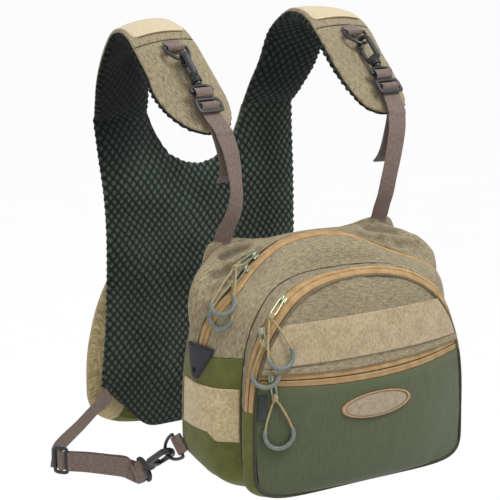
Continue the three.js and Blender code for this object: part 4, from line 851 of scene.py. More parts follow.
def gusset(name, sa, sb, z, over, n, m, mat, slot, lu, lv, shape=None, wrinkle=0.7, seed=1, roll_deep=1.1, thick=CLOTH):
    us, vs = edge_steps(n, lu), edge_steps(m, lv)
    P = run_grid(sa, sb, z, over, us, vs)
    U, V_ = np.meshgrid(us, vs, indexing="ij")
    inside = smoothstep(0, 7, np.minimum(U, 1 - U) * lu)
    lift = roll(U, V_, lu, lv, 1.4, roll_deep) + crumple(P, wrinkle, 30, seed) * (0.3 + 0.7 * inside)
    # the seams draw the cloth into short puckers
    near = gauss(np.minimum(U, 1 - U) * lu, 6.0)
    lift = lift + 0.35 * near * noise(np.stack([V_ * lv, 0 * U, 0 * U + seed * 31.0], -1), (7.0, 9.0, 9.0), seed + 5)
    if shape is not None:
        lift = lift + shape(U, V_, P)
    a, b = run_lengths(P)
    uv = np.stack([b - b[:, -1:] / 2, np.broadcast_to(us[:, None] * lu, b.shape)], -1)
    place = np.stack([V_, U], -1)
    piece = cloth(name, P, bag_out, mat, lift, thick, uv, place, nodes=(name,), slot=slot)
    # fold depth kept on the mesh, for the painted shade in the hollows
    deep = np.clip(-folds(P).reshape(-1) / 6.0, 0, 1)
    layer = piece.data.attributes.new("Hollow", "FLOAT", "POINT")
    layer.data.foreach_set("value", np.resize(deep, len(piece.data.vertices)).astype(np.float32))
    return piece


def corner_fill(P):
    """How much of the lower side corners a place belongs to: there the two compartments' cloth runs on without a dip."""
    return smoothstep(48, 72, -P[..., 2]) * smoothstep(60, 110, np.abs(P[..., 0]))


def zip_shape(lu, ridge=0.5, sink=0.9):
    """Two tapes: a slit down the middle, the coil's ridge under each side, hems over both edges."""
    def f(U, V_, P):
        d = np.abs(U - 0.5) * lu
        return -sink * gauss(np.minimum(U, 1 - U) * lu, 1.6) - 1.1 * gauss(d, 0.55) + ridge * gauss(d - 1.7, 1.3)
    return f


gusset("main_rear_gusset", 0, 1, Z_OLIVE, True, 28, 190, M_KHAKI, "khaki_cloth", 40, 380, lambda U, V_, P: folds(P) + 1.2 * np.sin(np.pi * U) ** 2, 0.8, 1)
gusset("main_zip", 1, 2, Z_OLIVE, True, 22, 180, M_ZIP, "zip_tape", 14, 390, zip_shape(14), 0.25, 2, 0.5, 1.4)
gusset("main_front_gusset", 2, 4, Z_OLIVE, True, 28, 180, M_KHAKI, "khaki_cloth", 34, 370, lambda U, V_, P: 1.5 * np.sin(np.pi * U) ** 2 + 0.5 * folds(P), 0.8, 3)
gusset("main_lower_gusset", 0, 4, Z_OLIVE, False, 42, 200, M_OLIVE, "olive_cloth", 68, 480, lambda U, V_, P: 1.2 * np.sin(np.pi * U) ** 2 * smoothstep(-40, 0, P[..., 2]) + 0.5 * folds(P) + 4.2 * corner_fill(P) * smoothstep(0.55, 1.0, U), 0.9, 4)
gusset("front_gusset_upper", 4, 5, Z_FRONT_OLIVE, True, 12, 190, M_KHAKI, "khaki_cloth", 13, 400, None, 0.3, 5)
gusset("front_zip", 5, 6, Z_FRONT_OLIVE, True, 22, 190, M_ZIP, "zip_tape", 13, 400, zip_shape(13), 0.25, 6, 0.5, 1.4)
gusset("front_gusset_lower", 4.03, 6, Z_FRONT_OLIVE, False, 20, 190, M_OLIVE, "olive_cloth", 26, 420, lambda U, V_, P: 0.8 * np.sin(np.pi * U) ** 2 - 1.6 * gauss(segment_distance(P, (-136, -99, -30), (-134, -112, -62)), 3.0) + 4.2 * corner_fill(P) * (1 - smoothstep(0.0, 0.6, U)), 0.7, 7)

# Bands on the sides, their lower edge stepping down towards the front
for name, side in SIDES:
    us, vs = edge_steps(40, 60), edge_steps(30, 48)
    rows = []
    for u in us:
        s = mix(0.14, 3.93, u)
        st = seam_at(np.full(len(vs), s))
        low = Z_BAND_LOW + 6.0 - 8.5 * smoothstep(0.62, 0.78, u)
        q = angle_at(st, mix(low, Z_BAND_TOP + 2.0, vs))
        rows.append(bag_point(np.full(len(vs), s), q if side > 0 else 180 - q))
    P = np.stack(rows)
    U, V_ = np.meshgrid(us, vs, indexing="ij")
    lift = 1.7 + roll(U, V_, 60, 48, 1.0, 0.8) + crumple(P, 0.9, 30, 4) + 0.5 * folds(P) + 1.2 * np.sin(np.pi * mix(0.035, 0.9825, U)) ** 2 + 0.9 * gauss(U - 0.58 - 0.06 * V_, 0.13) + 0.6 * gauss(U - 0.25, 0.12)
    cloth("side_band_" + name, P, bag_out, M_TAN_SIDE_LIT, lift, 1.2, np.stack([U * 60, V_ * 48], -1), np.stack([U, V_], -1), nodes=("side_band_" + name,), slot="tan_cloth")

# ------------------------------------------------------------ front face
RIM = {c: float(v) for c, v in seam_at(6.0).items()}
RIM["half"] -= PANEL_INSET
RIM["zTop"] -= PANEL_INSET
RIM["zLow"] += PANEL_INSET


def rim_half(z):
    up_ = z >= RIM["zWide"]
    f = np.clip(np.where(up_, (z - RIM["zWide"]) / (RIM["zTop"] - RIM["zWide"]), (RIM["zWide"] - z) / (RIM["zWide"] - RIM["zLow"])), 0, 1)
    n = np.where(up_, RIM["nTop"], RIM["nLow"])
    return RIM["half"] * np.maximum(0, 1 - f ** n) ** (1 / n)


rim_top = lambda x: RIM["zWide"] + (RIM["zTop"] - RIM["zWide"]) * np.maximum(0, 1 - (np.abs(x) / RIM["half"]) ** RIM["nTop"]) ** (1 / RIM["nTop"])
rim_low = lambda x: RIM["zWide"] - (RIM["zWide"] - RIM["zLow"]) * np.maximum(0, 1 - (np.abs(x) / RIM["half"]) ** RIM["nLow"]) ** (1 / RIM["nLow"])
pocket_top = lambda x: POCKET["top"] + POCKET["rise_top"] * (x / POCKET["half"]) ** 2
pocket_low = lambda x: POCKET["low"] + POCKET["rise_low"] * (x / POCKET["half"]) ** 2


def face_point(x, z):
    x, z = np.broadcast_arrays(np.asarray(x, float), np.asarray(z, float))
    half = np.maximum(1, rim_half(z))
    edge = seam_depth({c: np.full(z.shape, v) for c, v in RIM.items()}, angle_at({c: np.full(z.shape, v) for c, v in RIM.items()}, z))
    u = np.minimum(1, np.abs(x) / half)
    return np.stack([x, edge + (face_at(z)["y"] - edge) * (1 - u ** 2.2) - GAP, z], -1)


face_out = lambda P: np.broadcast_to(np.array([0.0, -1.0, 0.0]), P.shape)


def face_normal(x, z):
    d = 1.0
    n = norm(np.cross(face_point(x + d, z) - face_point(x - d, z), face_point(x, z + d) - face_point(x, z - d)))
    return np.where(n[..., 1:2] > 0, -n, n)


def face_piece(name, X, Z, mat, slot, lift, thick=CLOTH, place=None, **kw):
    P = face_point(X, Z)
    return cloth(name, P, face_out, mat, lift, thick, np.stack([X, Z], -1), place, nodes=(name,), slot=slot, **kw)


def face_wrinkle(P, amount, seed):
    return crumple(P, amount, 34, seed)


# upper panel: hem over the pocket zip, puckers below the front zip
us, vs = edge_steps(150, 250), edge_steps(44, 80)
U, V_ = np.meshgrid(us, vs, indexing="ij")
reach = float(rim_half(np.array(POCKET["top"] + POCKET["rise_top"] + 3))) - 0.5
X = reach * np.sin((2 * U - 1) * math.pi / 2)
top = rim_top(X)
low = pocket_top(X) - 1.2
Z = mix(low, top, V_)
from_top, from_low = top - Z, Z - low
P = face_point(X, Z)
lift = roll(U, V_, 250, 80, 1.4, 1.1) + face_wrinkle(P, 0.8, 11)
lift = lift + 1.7 * gauss(from_low - 2.0, 3.4) - 0.9 * gauss(from_low - 7.0, 1.4)
lift = lift + 0.75 * gauss(from_top - 3.0, 7.0) * noise(np.stack([X, 0 * X, 0 * X], -1), (8.0, 9, 9), 12) + 1.1 * gauss(from_top - 14, 9.0)
lift = lift * smoothstep(0.0, 4.0, top - low)
face_piece("front_panel", X, Z, M_KHAKI_FRONT_SHADED, "khaki_cloth", lift, CLOTH, np.stack([U, V_], -1))

# tan band across the panel
us, vs = edge_steps(130, 250), edge_steps(18, 39)
U, V_ = np.meshgrid(us, vs, indexing="ij")
Z = mix(BAND_LOW, BAND_TOP, V_) + 0 * U
X = (2 * U - 1) * (rim_half(Z) - 1.6)
P = face_point(X, Z)
face_piece("front_band", X, Z, M_TAN, "tan_cloth", 1.55 + roll(U, V_, 250, 39, 1.0, 0.9) + face_wrinkle(P, 0.8, 11) + 0.4 * np.sin(np.pi * V_), 1.1, np.stack([U, V_], -1))

# pocket zip
us, vs = edge_steps(170, 250), edge_steps(20, 14)
U, V_ = np.meshgrid(us, vs, indexing="ij")
reach = mix(float(rim_half(np.array(POCKET["low"]))), float(rim_half(np.array(POCKET["top"]))), V_) - 0.4
X = reach * np.sin((2 * U - 1) * math.pi / 2)
Z = mix(pocket_low(X), pocket_top(X), V_)
d = np.abs(V_ - 0.5) * 14
P = face_point(X, Z)
lift = roll(U, V_, 250, 14, 1.2, 0.5) - 0.8 - 1.1 * gauss(d, 0.5) + 0.6 * gauss(d - 1.8, 1.3) + face_wrinkle(P, 0.3, 13)
face_piece("pocket_zip", X, Z, M_ZIP_POCKET, "zip_tape", lift, 1.4, np.stack([U, V_], -1))

# ribbed pocket panel with its plain hem
us, vs = edge_steps(560, 260), edge_steps(26, 100)
U, V_ = np.meshgrid(us, vs, indexing="ij")
reach = float(rim_half(np.array(POCKET["low"]))) - 1.2
X0 = reach * np.sin((2 * U - 1) * math.pi / 2 * 0.93) / math.sin(math.pi / 2 * 0.93)
Z = mix(rim_low(X0) + 0.4, pocket_low(X0), V_)
X = X0 * (1 + 0.022 * np.sin(math.pi * V_))
hem = smoothstep(0.918, 0.93, V_)
P = face_point(X, Z)
lift = roll(U, V_, 260, 100, 1.4, 1.1) + 0.11 * np.sin(2 * math.pi * X / 2.6) * (1 - hem) * smoothstep(0.0, 0.04, V_)
lift = lift + 0.5 * hem + face_wrinkle(P, 1.0, 14) + 0.5 * gauss(rim_low(X0) - Z + 8, 8) * noise(np.stack([X, 0 * X, 0 * X], -1), (12.0, 9, 9), 15)
face_piece("pocket_panel", X, Z, M_RIB, "green_ribbed_cloth", lift, CLOTH, np.stack([U, V_], -1))

# oval badge: raised rim round a bare field
rings = [(0.0, 1.55), (0.25, 1.55), (0.5, 1.5), (0.7, 1.45), (0.85, 1.42), (0.885, 1.3), (0.897, 1.5), (0.91, 2.1), (0.925, 2.45), (0.945, 2.55), (0.965, 2.45), (0.98, 2.2), (0.99, 1.7), (1.0, 1.1), (1.0, 0.5)]
q = np.linspace(0, 2 * math.pi, 128, endpoint=False)
V, PL = [], []
for r, h in rings[1:]:
    x = 42 * r * np.cos(q)
    z = 12 * r * np.sin(q) + 0.02 * x
    V.append(face_point(x, z) + face_normal(x, z) * h)
    PL.append(np.stack([np.full(128, r), q / 6.28], -1))
x, z = 42 * np.cos(q) * 0.5, 12 * np.sin(q) * 0.5 + 0.01 * 42 * np.cos(q)
V.append(face_point(x, z) + face_normal(x, z) * 0.5)
PL.append(np.stack([np.full(128, 0.99), q / 6.28], -1))
v, f = tube_mesh(np.stack(V))
v[-2] = face_point(np.array(0.0), np.array(0.0)) + face_normal(np.array(0.0), np.array(0.0)) * 1.55
pl = np.concatenate(PL + [np.array([[0.0, 0.0], [0.99, 0.0]])])
make("badge", v, f, M_BADGE, v[:, [0, 2]], pl, 40, nodes=("badge",), slot="badge_rubber")

# small folded tag sewn into the pocket's near edge
us, vs = edge_steps(12, 9), edge_steps(18, 22)
U, V_ = np.meshgrid(us, vs, indexing="ij")
X, Z = mix(-124.0, -115.6, U) + 0.8 * (V_ - 0.5), mix(-1.5, 22.5, V_)
cloth("pocket_tag", face_point(X, Z), face_out, M_TAG, 2.3 + roll(U, V_, 9, 22, 0.8, 0.7) + 0.4 * np.sin(np.pi * U), 1.2, np.stack([X, Z], -1), np.stack([U, V_], -1), slot="rubber")


def bead(name, path, radius, mat, slot, loop, wobble=0.0, **kw):
    """Round cloth bead along a seam."""
    p = np.asarray(path, float)
    ring = super_section(radius, radius, 2.0, 10)
    r = sweep_rings(p, ring, unit((0.31, 0.2, 0.93)), loop)
    v, f = tube_mesh(r, loop)
    run = np.concatenate([[0], np.cumsum(np.linalg.norm(np.diff(p, axis=0), axis=1))])
    uv = np.stack([np.tile(np.arange(10) * 0.6, len(p)), np.repeat(run, 10)], -1)
    uv = np.concatenate([uv, np.zeros((len(v) - len(uv), 2))])
    return make(name, v, f, mat, uv, uv * 0.01, None, slot=slot, **kw)


def seam_path(s, drop, count=420, fill=0.0):
    """A closed run round the bag at a seam, set in or out of the cloth."""
    st = {c: float(v) for c, v in seam_at(s).items()}
    a = np.concatenate([even_angles(st, -90, 90, np.linspace(0, 1, count // 2, endpoint=False)), 180 - even_angles(st, -90, 90, np.linspace(1, 0, count // 2, endpoint=False))])
    p = bag_point(np.full(count, s), a)
    t = norm(np.roll(p, -1, 0) - np.roll(p, 1, 0))
    side = norm(np.cross(t, np.array([0.0, 1.0, 0.0])))
    side = np.where(((p - BAG_MID) * side).sum(-1, keepdims=True) < 0, -side, side)
    return p + side * (drop + fill * corner_fill(p))[:, None]


# piping: in the groove between the compartments and round the front face
bead("piping_groove", seam_path(4.0, -0.7, fill=3.9), 1.0, M_PIPE, "rubber", True)
rim = seam_path(6.0, 0.0)
inner = np.stack([rim[:, 0] * (1 - 1.6 / np.maximum(40, np.linalg.norm(rim[:, [0, 2]], axis=1))), rim[:, 1] - 0.9, rim[:, 2] - 1.6 * (rim[:, 2] - 18) / np.maximum(40, np.linalg.norm(rim[:, [0, 2]], axis=1))], -1)
bead("piping_face", inner, 1.55, M_PIPE_FACE, "rubber", True)

# wall between the compartments and the wall on the chest
st = {c: float(v) for c, v in seam_at(4.0).items()}
for c, k_ in (("half", -4.5), ("zTop", -4.5), ("zLow", 4.5)):
    st[c] += k_
phis = np.concatenate([even_angles(st, -90, 90, np.linspace(0, 1, 60, endpoint=False)), 180 - even_angles(st, -90, 90, np.linspace(1, 0, 60, endpoint=False))])
rimp = loop_point({c: np.full(120, v) for c, v in st.items()}, phis)
mid = np.array([0.0, -94.0, 20.0])
sheets = []
for off in (-CLOTH / 2, CLOTH / 2):
    sh = []
    for r in np.linspace(0.02, 1, 24):
        p = mid + (rimp - mid) * r
        p[:, 1] = mid[1] + (rimp[:, 1] - mid[1]) * r ** 4 + off + 0.5 * noise(p, 30.0, 21) * (1 - r)
        sh.append(p)
    sheets.append(sh)
rings = np.stack(sheets[0] + sheets[1][::-1])
v, f = tube_mesh(rings)
make("compartment_wall", v, f, M_KHAKI, v[:, [0, 2]], v[:, [0, 2]] * 0.01, 40, nodes=("compartment_wall",), slot="khaki_cloth")

st0 = {c: float(v) for c, v in seam_at(0.0).items()}
half_out = [tuple(p) for p in bag_point(np.zeros(60), even_angles(st0, -90, 46, np.linspace(0, 1, 60)))[:, [0, 2]]]
ear_pts = catmull([(half_out[-1][0], 0, half_out[-1][1]), (118.5, 0, 137), (110, 0, 150.5), (86, 0, 152.5), (60, 0, 148.5), (30, 0, 146.6), (0, 0, 146.2)], 2.6)
half_out = half_out + [(p[0], p[2]) for p in ear_pts[1:-1]]
outline = np.array(half_out + [(0.0, 146.2)] + [(-x, z) for x, z in half_out[::-1][:-1]])
hub = np.array([0.0, 30.0])
y0 = -22 + GAP / 2
layers = []
for r, y, sh in [(0.02, 0, 0), (0.3, 0, 0), (0.6, 0, 0), (0.85, 0, 0), (0.96, 0, 0), (1.0, 0.05, 0.5), (1.0, 0.5, 0.0), (1.0, 1.3, 0.0), (1.0, 1.75, 0.5), (0.965, 1.8, 0), (0.95, 1.35, 0), (0.93, 1.8, 0), (0.85, 1.8, 0), (0.6, 1.8, 0), (0.3, 1.8, 0), (0.02, 1.8, 0)]:
    o2 = hub + (outline - hub) * (r - sh / 140.0)
    p = np.stack([o2[:, 0], np.full(len(o2), y0 + y), o2[:, 1]], -1)
    layers.append(p)
v, f = tube_mesh(np.stack(layers))
make("bag_back_wall", v, f, M_KHAKI, v[:, [0, 2]], v[:, [0, 2]] * 0.01, 40, nodes=("bag_back_wall",), slot="khaki_cloth")

# rubber zip garages with an eyelet
def quad_curve(a, b, c, n=24):
    t = np.linspace(0, 1, n, endpoint=False)[:, None]
    return (1 - t) ** 2 * np.array(a) + 2 * t * (1 - t) * np.array(b) + t * t * np.array(c)


for name, side in SIDES:
    tp, lo_ = Z_OLIVE + 9, 27.0
    ol = np.concatenate([quad_curve((9, tp), (26, tp + 1.5), (43, tp - 2)), quad_curve((43, tp - 2), (38, 42), (22, lo_ + 1.5)),
                         quad_curve((22, lo_ + 1.5), (17, lo_ - 1), (13.5, lo_ + 3)), quad_curve((13.5, lo_ + 3), (10, 45), (9, tp))])
    ol = chaikin(ol, 1)
    c0 = np.array([18.0, 36.0])
    ang = np.arctan2(ol[:, 1] - c0[1], ol[:, 0] - c0[0])
    order = np.argsort(ang)
    rad_ = np.linalg.norm(ol - c0, axis=1)[order]
    th = np.linspace(-math.pi, math.pi, 144, endpoint=False)
    ro = np.interp(th, np.concatenate([ang[order] - 2 * math.pi, ang[order], ang[order] + 2 * math.pi]), np.tile(rad_, 3))
    layers = []
    prof = [(0.0, -0.2), (0.0, 0.9), (0.4, 1.5), (1.0, 1.9), (1.6, 1.6)]
    for d_in, h in prof:
        layers.append((np.full(144, 2.6) + d_in, h))
    for fr in (0.2, 0.45, 0.7, 0.85):
        layers.append((mix(4.4, ro - 2.4, fr), 1.5))
    for d_out, h in ((2.2, 1.5), (1.8, 1.0), (1.4, 1.45), (0.7, 1.4), (0.2, 1.0), (0.0, 0.4), (0.0, -0.2)):
        layers.append((ro - d_out, h))
    rings = []
    for rr, h in layers:
        s_ = (c0[0] + rr * np.cos(th)) / 16
        z_ = c0[1] + rr * np.sin(th)
        q_ = angle_at(seam_at(s_), z_)
        at_ = q_ if side > 0 else 180 - q_
        e = 0.05
        a_, b_ = bag_point(s_ + e, at_) - bag_point(s_ - e, at_), bag_point(s_, at_ + 1) - bag_point(s_, at_ - 1)
        nn = norm(np.cross(a_, b_))
        nn = np.where((nn * bag_out(bag_point(s_, at_))).sum(-1, keepdims=True) < 0, -nn, nn)
        rings.append(bag_point(s_, at_) + nn * (h + 2.0))
    rings = np.stack(rings)
    v = rings.reshape(-1, 3)
    f = grid_faces(len(rings), 144, 0, loop_n=True, loop_m=True)
    uvm = np.stack([np.tile(th, len(rings)) * 6, np.repeat(np.arange(len(rings)), 144)], -1)
    make("zip_garage_" + name, v, f, M_RUBBER, uvm, uvm * 0.01, 50, nodes=("zip_garage_" + name,), slot="rubber")

# ------------------------------------------------------------ yoke
def dots(u, v):
    at = {"u": u, "v": v}
    for into, far, ku, kv, phase in MESH_WARP:
        at[into] = at[into] + far * np.sin(ku * u + kv * v + phase)
    cell = np.abs(np.cos(2 * math.pi * at["u"] / MESH_U) + np.cos(math.pi * at["v"] / MESH_V)) / 2
    return 1.6 * cell - 0.45


pad_round = lambda j: mix(PAD_EDGE / PAD_MID, 1.0, np.sqrt(np.maximum(0, 1 - np.abs(2 * j - 1) ** 3)))


def smooth_profile(xs, ys, width=7.0):
    fine = np.linspace(-126, 126, 1009)
    y = np.interp(np.abs(fine), xs, ys)
    k_ = np.exp(-(np.arange(-40, 41) * 0.25 / width) ** 2)
    k_ /= k_.sum()
    ys_ = np.convolve(np.pad(y, 40, mode="edge"), k_, mode="valid")
    return lambda a: np.interp(a, fine, ys_)


back_top = smooth_profile([0, 19, 39, 49, 57, 61.4, 63.5, 126], [190, 193.5, 204, 218, 233, 245, 250, 250], 1.6)
back_low = smooth_profile(BACK_X, BACK_LOW, 6.0)


def back_grid(us, vs, trim):
    """Columns across the back panel, rows up it."""
    A, J = np.meshgrid((2 * us - 1) * 126, vs, indexing="ij")
    z = mix(back_low(A) + trim, back_top(A) - trim, J)
    b = back_at(z)
    return A, J, np.stack([A / 126 * (b["half"] - trim), b["y"], z], -1)


us, vs = edge_steps(154, 252), edge_steps(200, 300)
A, J, P = back_grid(us, vs, 0.0)
P[..., 0] += np.sign(A) * 0.8 * np.sin(2 * math.pi * P[..., 2] / 7.4) * smoothstep(0.92, 1.0, np.abs(A) / 126)
P[..., 2] += 0.8 * np.sin(2 * math.pi * A / 7.4) * smoothstep(0.96, 1.0, J) * (1 - smoothstep(48, 58, np.abs(A)))
w = np.abs(A) / 126
end = np.sqrt(np.maximum(0, 1 - np.abs(2 * J - 1) ** 3))
end = np.where((J > 0.5), mix(end, 1.0, smoothstep(52, 66, np.abs(A))), end)
edge_mm = np.minimum(np.minimum(us, 1 - us)[:, None] * 252, np.minimum(J * 300, np.where(np.abs(A) > 60, 1e3, (1 - J) * 300)))
puff = PAD_MID * pad_round(0.5 + 0.5 * w) * mix(0.45, 1.0, end)
# towards the arms it takes the arm's own round
as_arm = PAD_MID * pad_round(np.clip((np.abs(A) - 61.5) / 63.5, 0, 1))
puff = mix(puff, as_arm, smoothstep(190, 246, P[..., 2]) * smoothstep(54, 66, np.abs(A)))
relief = 0.5 * dots(P[..., 0], P[..., 2]) + crumple(P, 0.5, 60, 31)
front = P + np.stack([0 * A, BACK_BED - puff - relief + 0.9 * gauss(edge_mm, 1.0), 0 * A], -1)
rear = P + np.stack([0 * A, np.full(A.shape, BACK_BED), 0 * A], -1)
uvb = np.stack([P[..., 0], P[..., 2]], -1)
plb = np.stack([us[:, None] + 0 * A, J], -1)
two = lambda q_: np.concatenate([q_.reshape(-1, q_.shape[-1])] * 2)
back_pad = make("back_pad", np.concatenate([front.reshape(-1, 3), rear.reshape(-1, 3)]), shell_faces(*A.shape), M_MESH, two(uvb), two(plb), 60, nodes=("back_pad",), slot="spacer_mesh")

us, vs = edge_steps(66, 250), edge_steps(72, 300)
A, J, P = back_grid(us, vs, 1.0)
U, V_ = np.meshgrid(us, vs, indexing="ij")
outer = P + np.stack([0 * A, BACK_REAR + roll(U, V_, 250, 300, 1.2, 0.8) + 0.4 * crumple(P, 1.0, 50, 33), 0 * A], -1)
inner_ = P + np.stack([0 * A, np.full(A.shape, BACK_BED + GAP + 0.2), 0 * A], -1)
make("back_shell", np.concatenate([outer.reshape(-1, 3), inner_.reshape(-1, 3)]), shell_faces(*A.shape), M_KHAKI, two(np.stack([P[..., 0], P[..., 2]], -1)), two(np.stack([U, V_], -1)), 50, nodes=("back_shell",), slot="khaki_cloth")

# pouch behind the back panel
def pouch_rings(ps, shrink, lower, seed=None):
    out = []
    q_ = np.linspace(0, 360, 200, endpoint=False)
    phi = np.where(q_ <= 90, q_, np.where(q_ <= 270, 180 - q_, q_ - 360))
    sd = np.where((q_ > 90) & (q_ < 270), -1.0, 1.0)
    for p_ in ps:
        r = {c: float(v) for c, v in pouch_at(p_).items()}
        c, s = np.maximum(0, np.cos(np.radians(phi))), np.sin(np.radians(phi))
        n = np.where(s >= 0, r["nTop"], r["nLow"])
        reach = np.where(s >= 0, r["zTop"] - r["zWide"], r["zWide"] - r["zLow"])
        k_ = min(1.0, (5 - p_) / 0.5) if p_ > 4.5 else 1.0
        x = sd * np.maximum(0.2, r["half"] - shrink * k_) * c ** (2 / n)
        z = r["zWide"] + np.sign(s) * np.maximum(0.2, reach - shrink * k_) * np.abs(s) ** (2 / n)
        pt = np.stack([x, back_at(z)["y"] + BACK_REAR + GAP + 0.3 + r["d"] - lower * min(1.0, p_), z], -1)
        if seed is not None:
            # seams, sag and wrinkles of a slack pouch
            lift = crumple(pt, 1.5, 38, seed) * smoothstep(0.0, 0.8, np.array(p_)) - 1.0 * gauss(np.array(p_ - 1.0), 0.05)
            pt[:, 1] += lift * (0.4 + 0.6 * smoothstep(1.0, 2.5, np.array(p_)))
            grow = 1 + 0.004 * noise(pt, 24.0, seed + 1) * smoothstep(0.2, 1.0, np.array(p_)) * (1 - smoothstep(2.5, 4.0, np.array(p_)))
            pt[:, 0] *= grow
        out.append(pt)
    return out


ps = np.concatenate([np.linspace(0, 0.94, 12), [0.97, 1.0, 1.03], np.linspace(1.07, 5, 40)])
rings = np.stack(pouch_rings(ps[::-1], 0, 0, 41) + pouch_rings(ps, 1.6, 1.5))
v, f = tube_mesh(rings)
# its weave runs on round the sides
deep_y = v[:, 1] - v[:, 1].min()
round_uv = np.stack([v[:, 0] - np.tanh(v[:, 0] / 60) * deep_y, v[:, 2] - np.tanh((v[:, 2] - 20) / 60) * deep_y], -1)
make("back_pouch", v, f, M_POUCH_LIT, round_uv, v[:, [0, 2]] * 0.01, 50, nodes=("back_pouch",), slot="khaki_cloth")

# its wall towards the wearer, sewn in at the pouch's mouth behind the panel
edge = pouch_rings([0.0], 0.9, 0)[0]
core = np.array([0.0, 0.0, 30.0])
layers = []
for off in (0.15, 1.35):
    sheet = []
    for r in np.linspace(0.02, 1.0, 18):
        q_ = core + (edge - core) * r
        q_[:, 1] = back_at(q_[:, 2])["y"] + BACK_REAR + GAP + 0.3 + off + 0.25 * noise(q_, 22.0, 61)
        sheet.append(q_)
    layers.append(sheet)
v, f = tube_mesh(np.stack(layers[0] + layers[1][::-1]))
make("pouch_front_wall", v, f, M_POUCH_LIT, v[:, [0, 2]], v[:, [0, 2]] * 0.01, 50, slot="khaki_cloth")

# shoulder arms
def arm_base(side, t, w):
    r = arm_at(t)
    return np.stack([side * (r["x"] - r["half"] * w), r["y"] + r["dy"] / 2 * w, r["z"] + r["dz"] / 2 * w], -1)


def arm_normal(side, t, w):
    n = norm(np.cross(arm_base(side, t + 0.1, w) - arm_base(side, t - 0.1, w), arm_base(side, t, w + 0.05) - arm_base(side, t, w - 0.05)))
    out = arm_base(side, t, w) - np.array([side * 108, 70, 230])
    n = np.where((n * out).sum(-1, keepdims=True) < 0, -n, n)
    k_ = smoothstep(11.0, 12.0, t)[..., None]
    return norm(n * (1 - k_) + np.array([0.0, 1.0, 0.0]) * k_)


def arm_face(side, t, w):
    return arm_base(side, t, w) + arm_normal(side, t, w) * (arm_at(t)["crown"] * (1 - w * w))[..., None]


def arm_rows(t0, t1, count):
    """Rows at even lengths along the middle of the arm."""
    fine = np.linspace(t0, t1, 600)
    p = arm_base(1.0, fine, np.zeros(600))
    run = np.concatenate([[0], np.cumsum(np.linalg.norm(np.diff(p, axis=0), axis=1))])
    e = np.array([0.0, 0.4, 0.9, 1.6, 2.6])
    at = np.concatenate([e, np.linspace(e[-1], run[-1] - e[-1], count)[1:-1], run[-1] - e[::-1]])
    return np.interp(at, run, fine), at, run[-1]


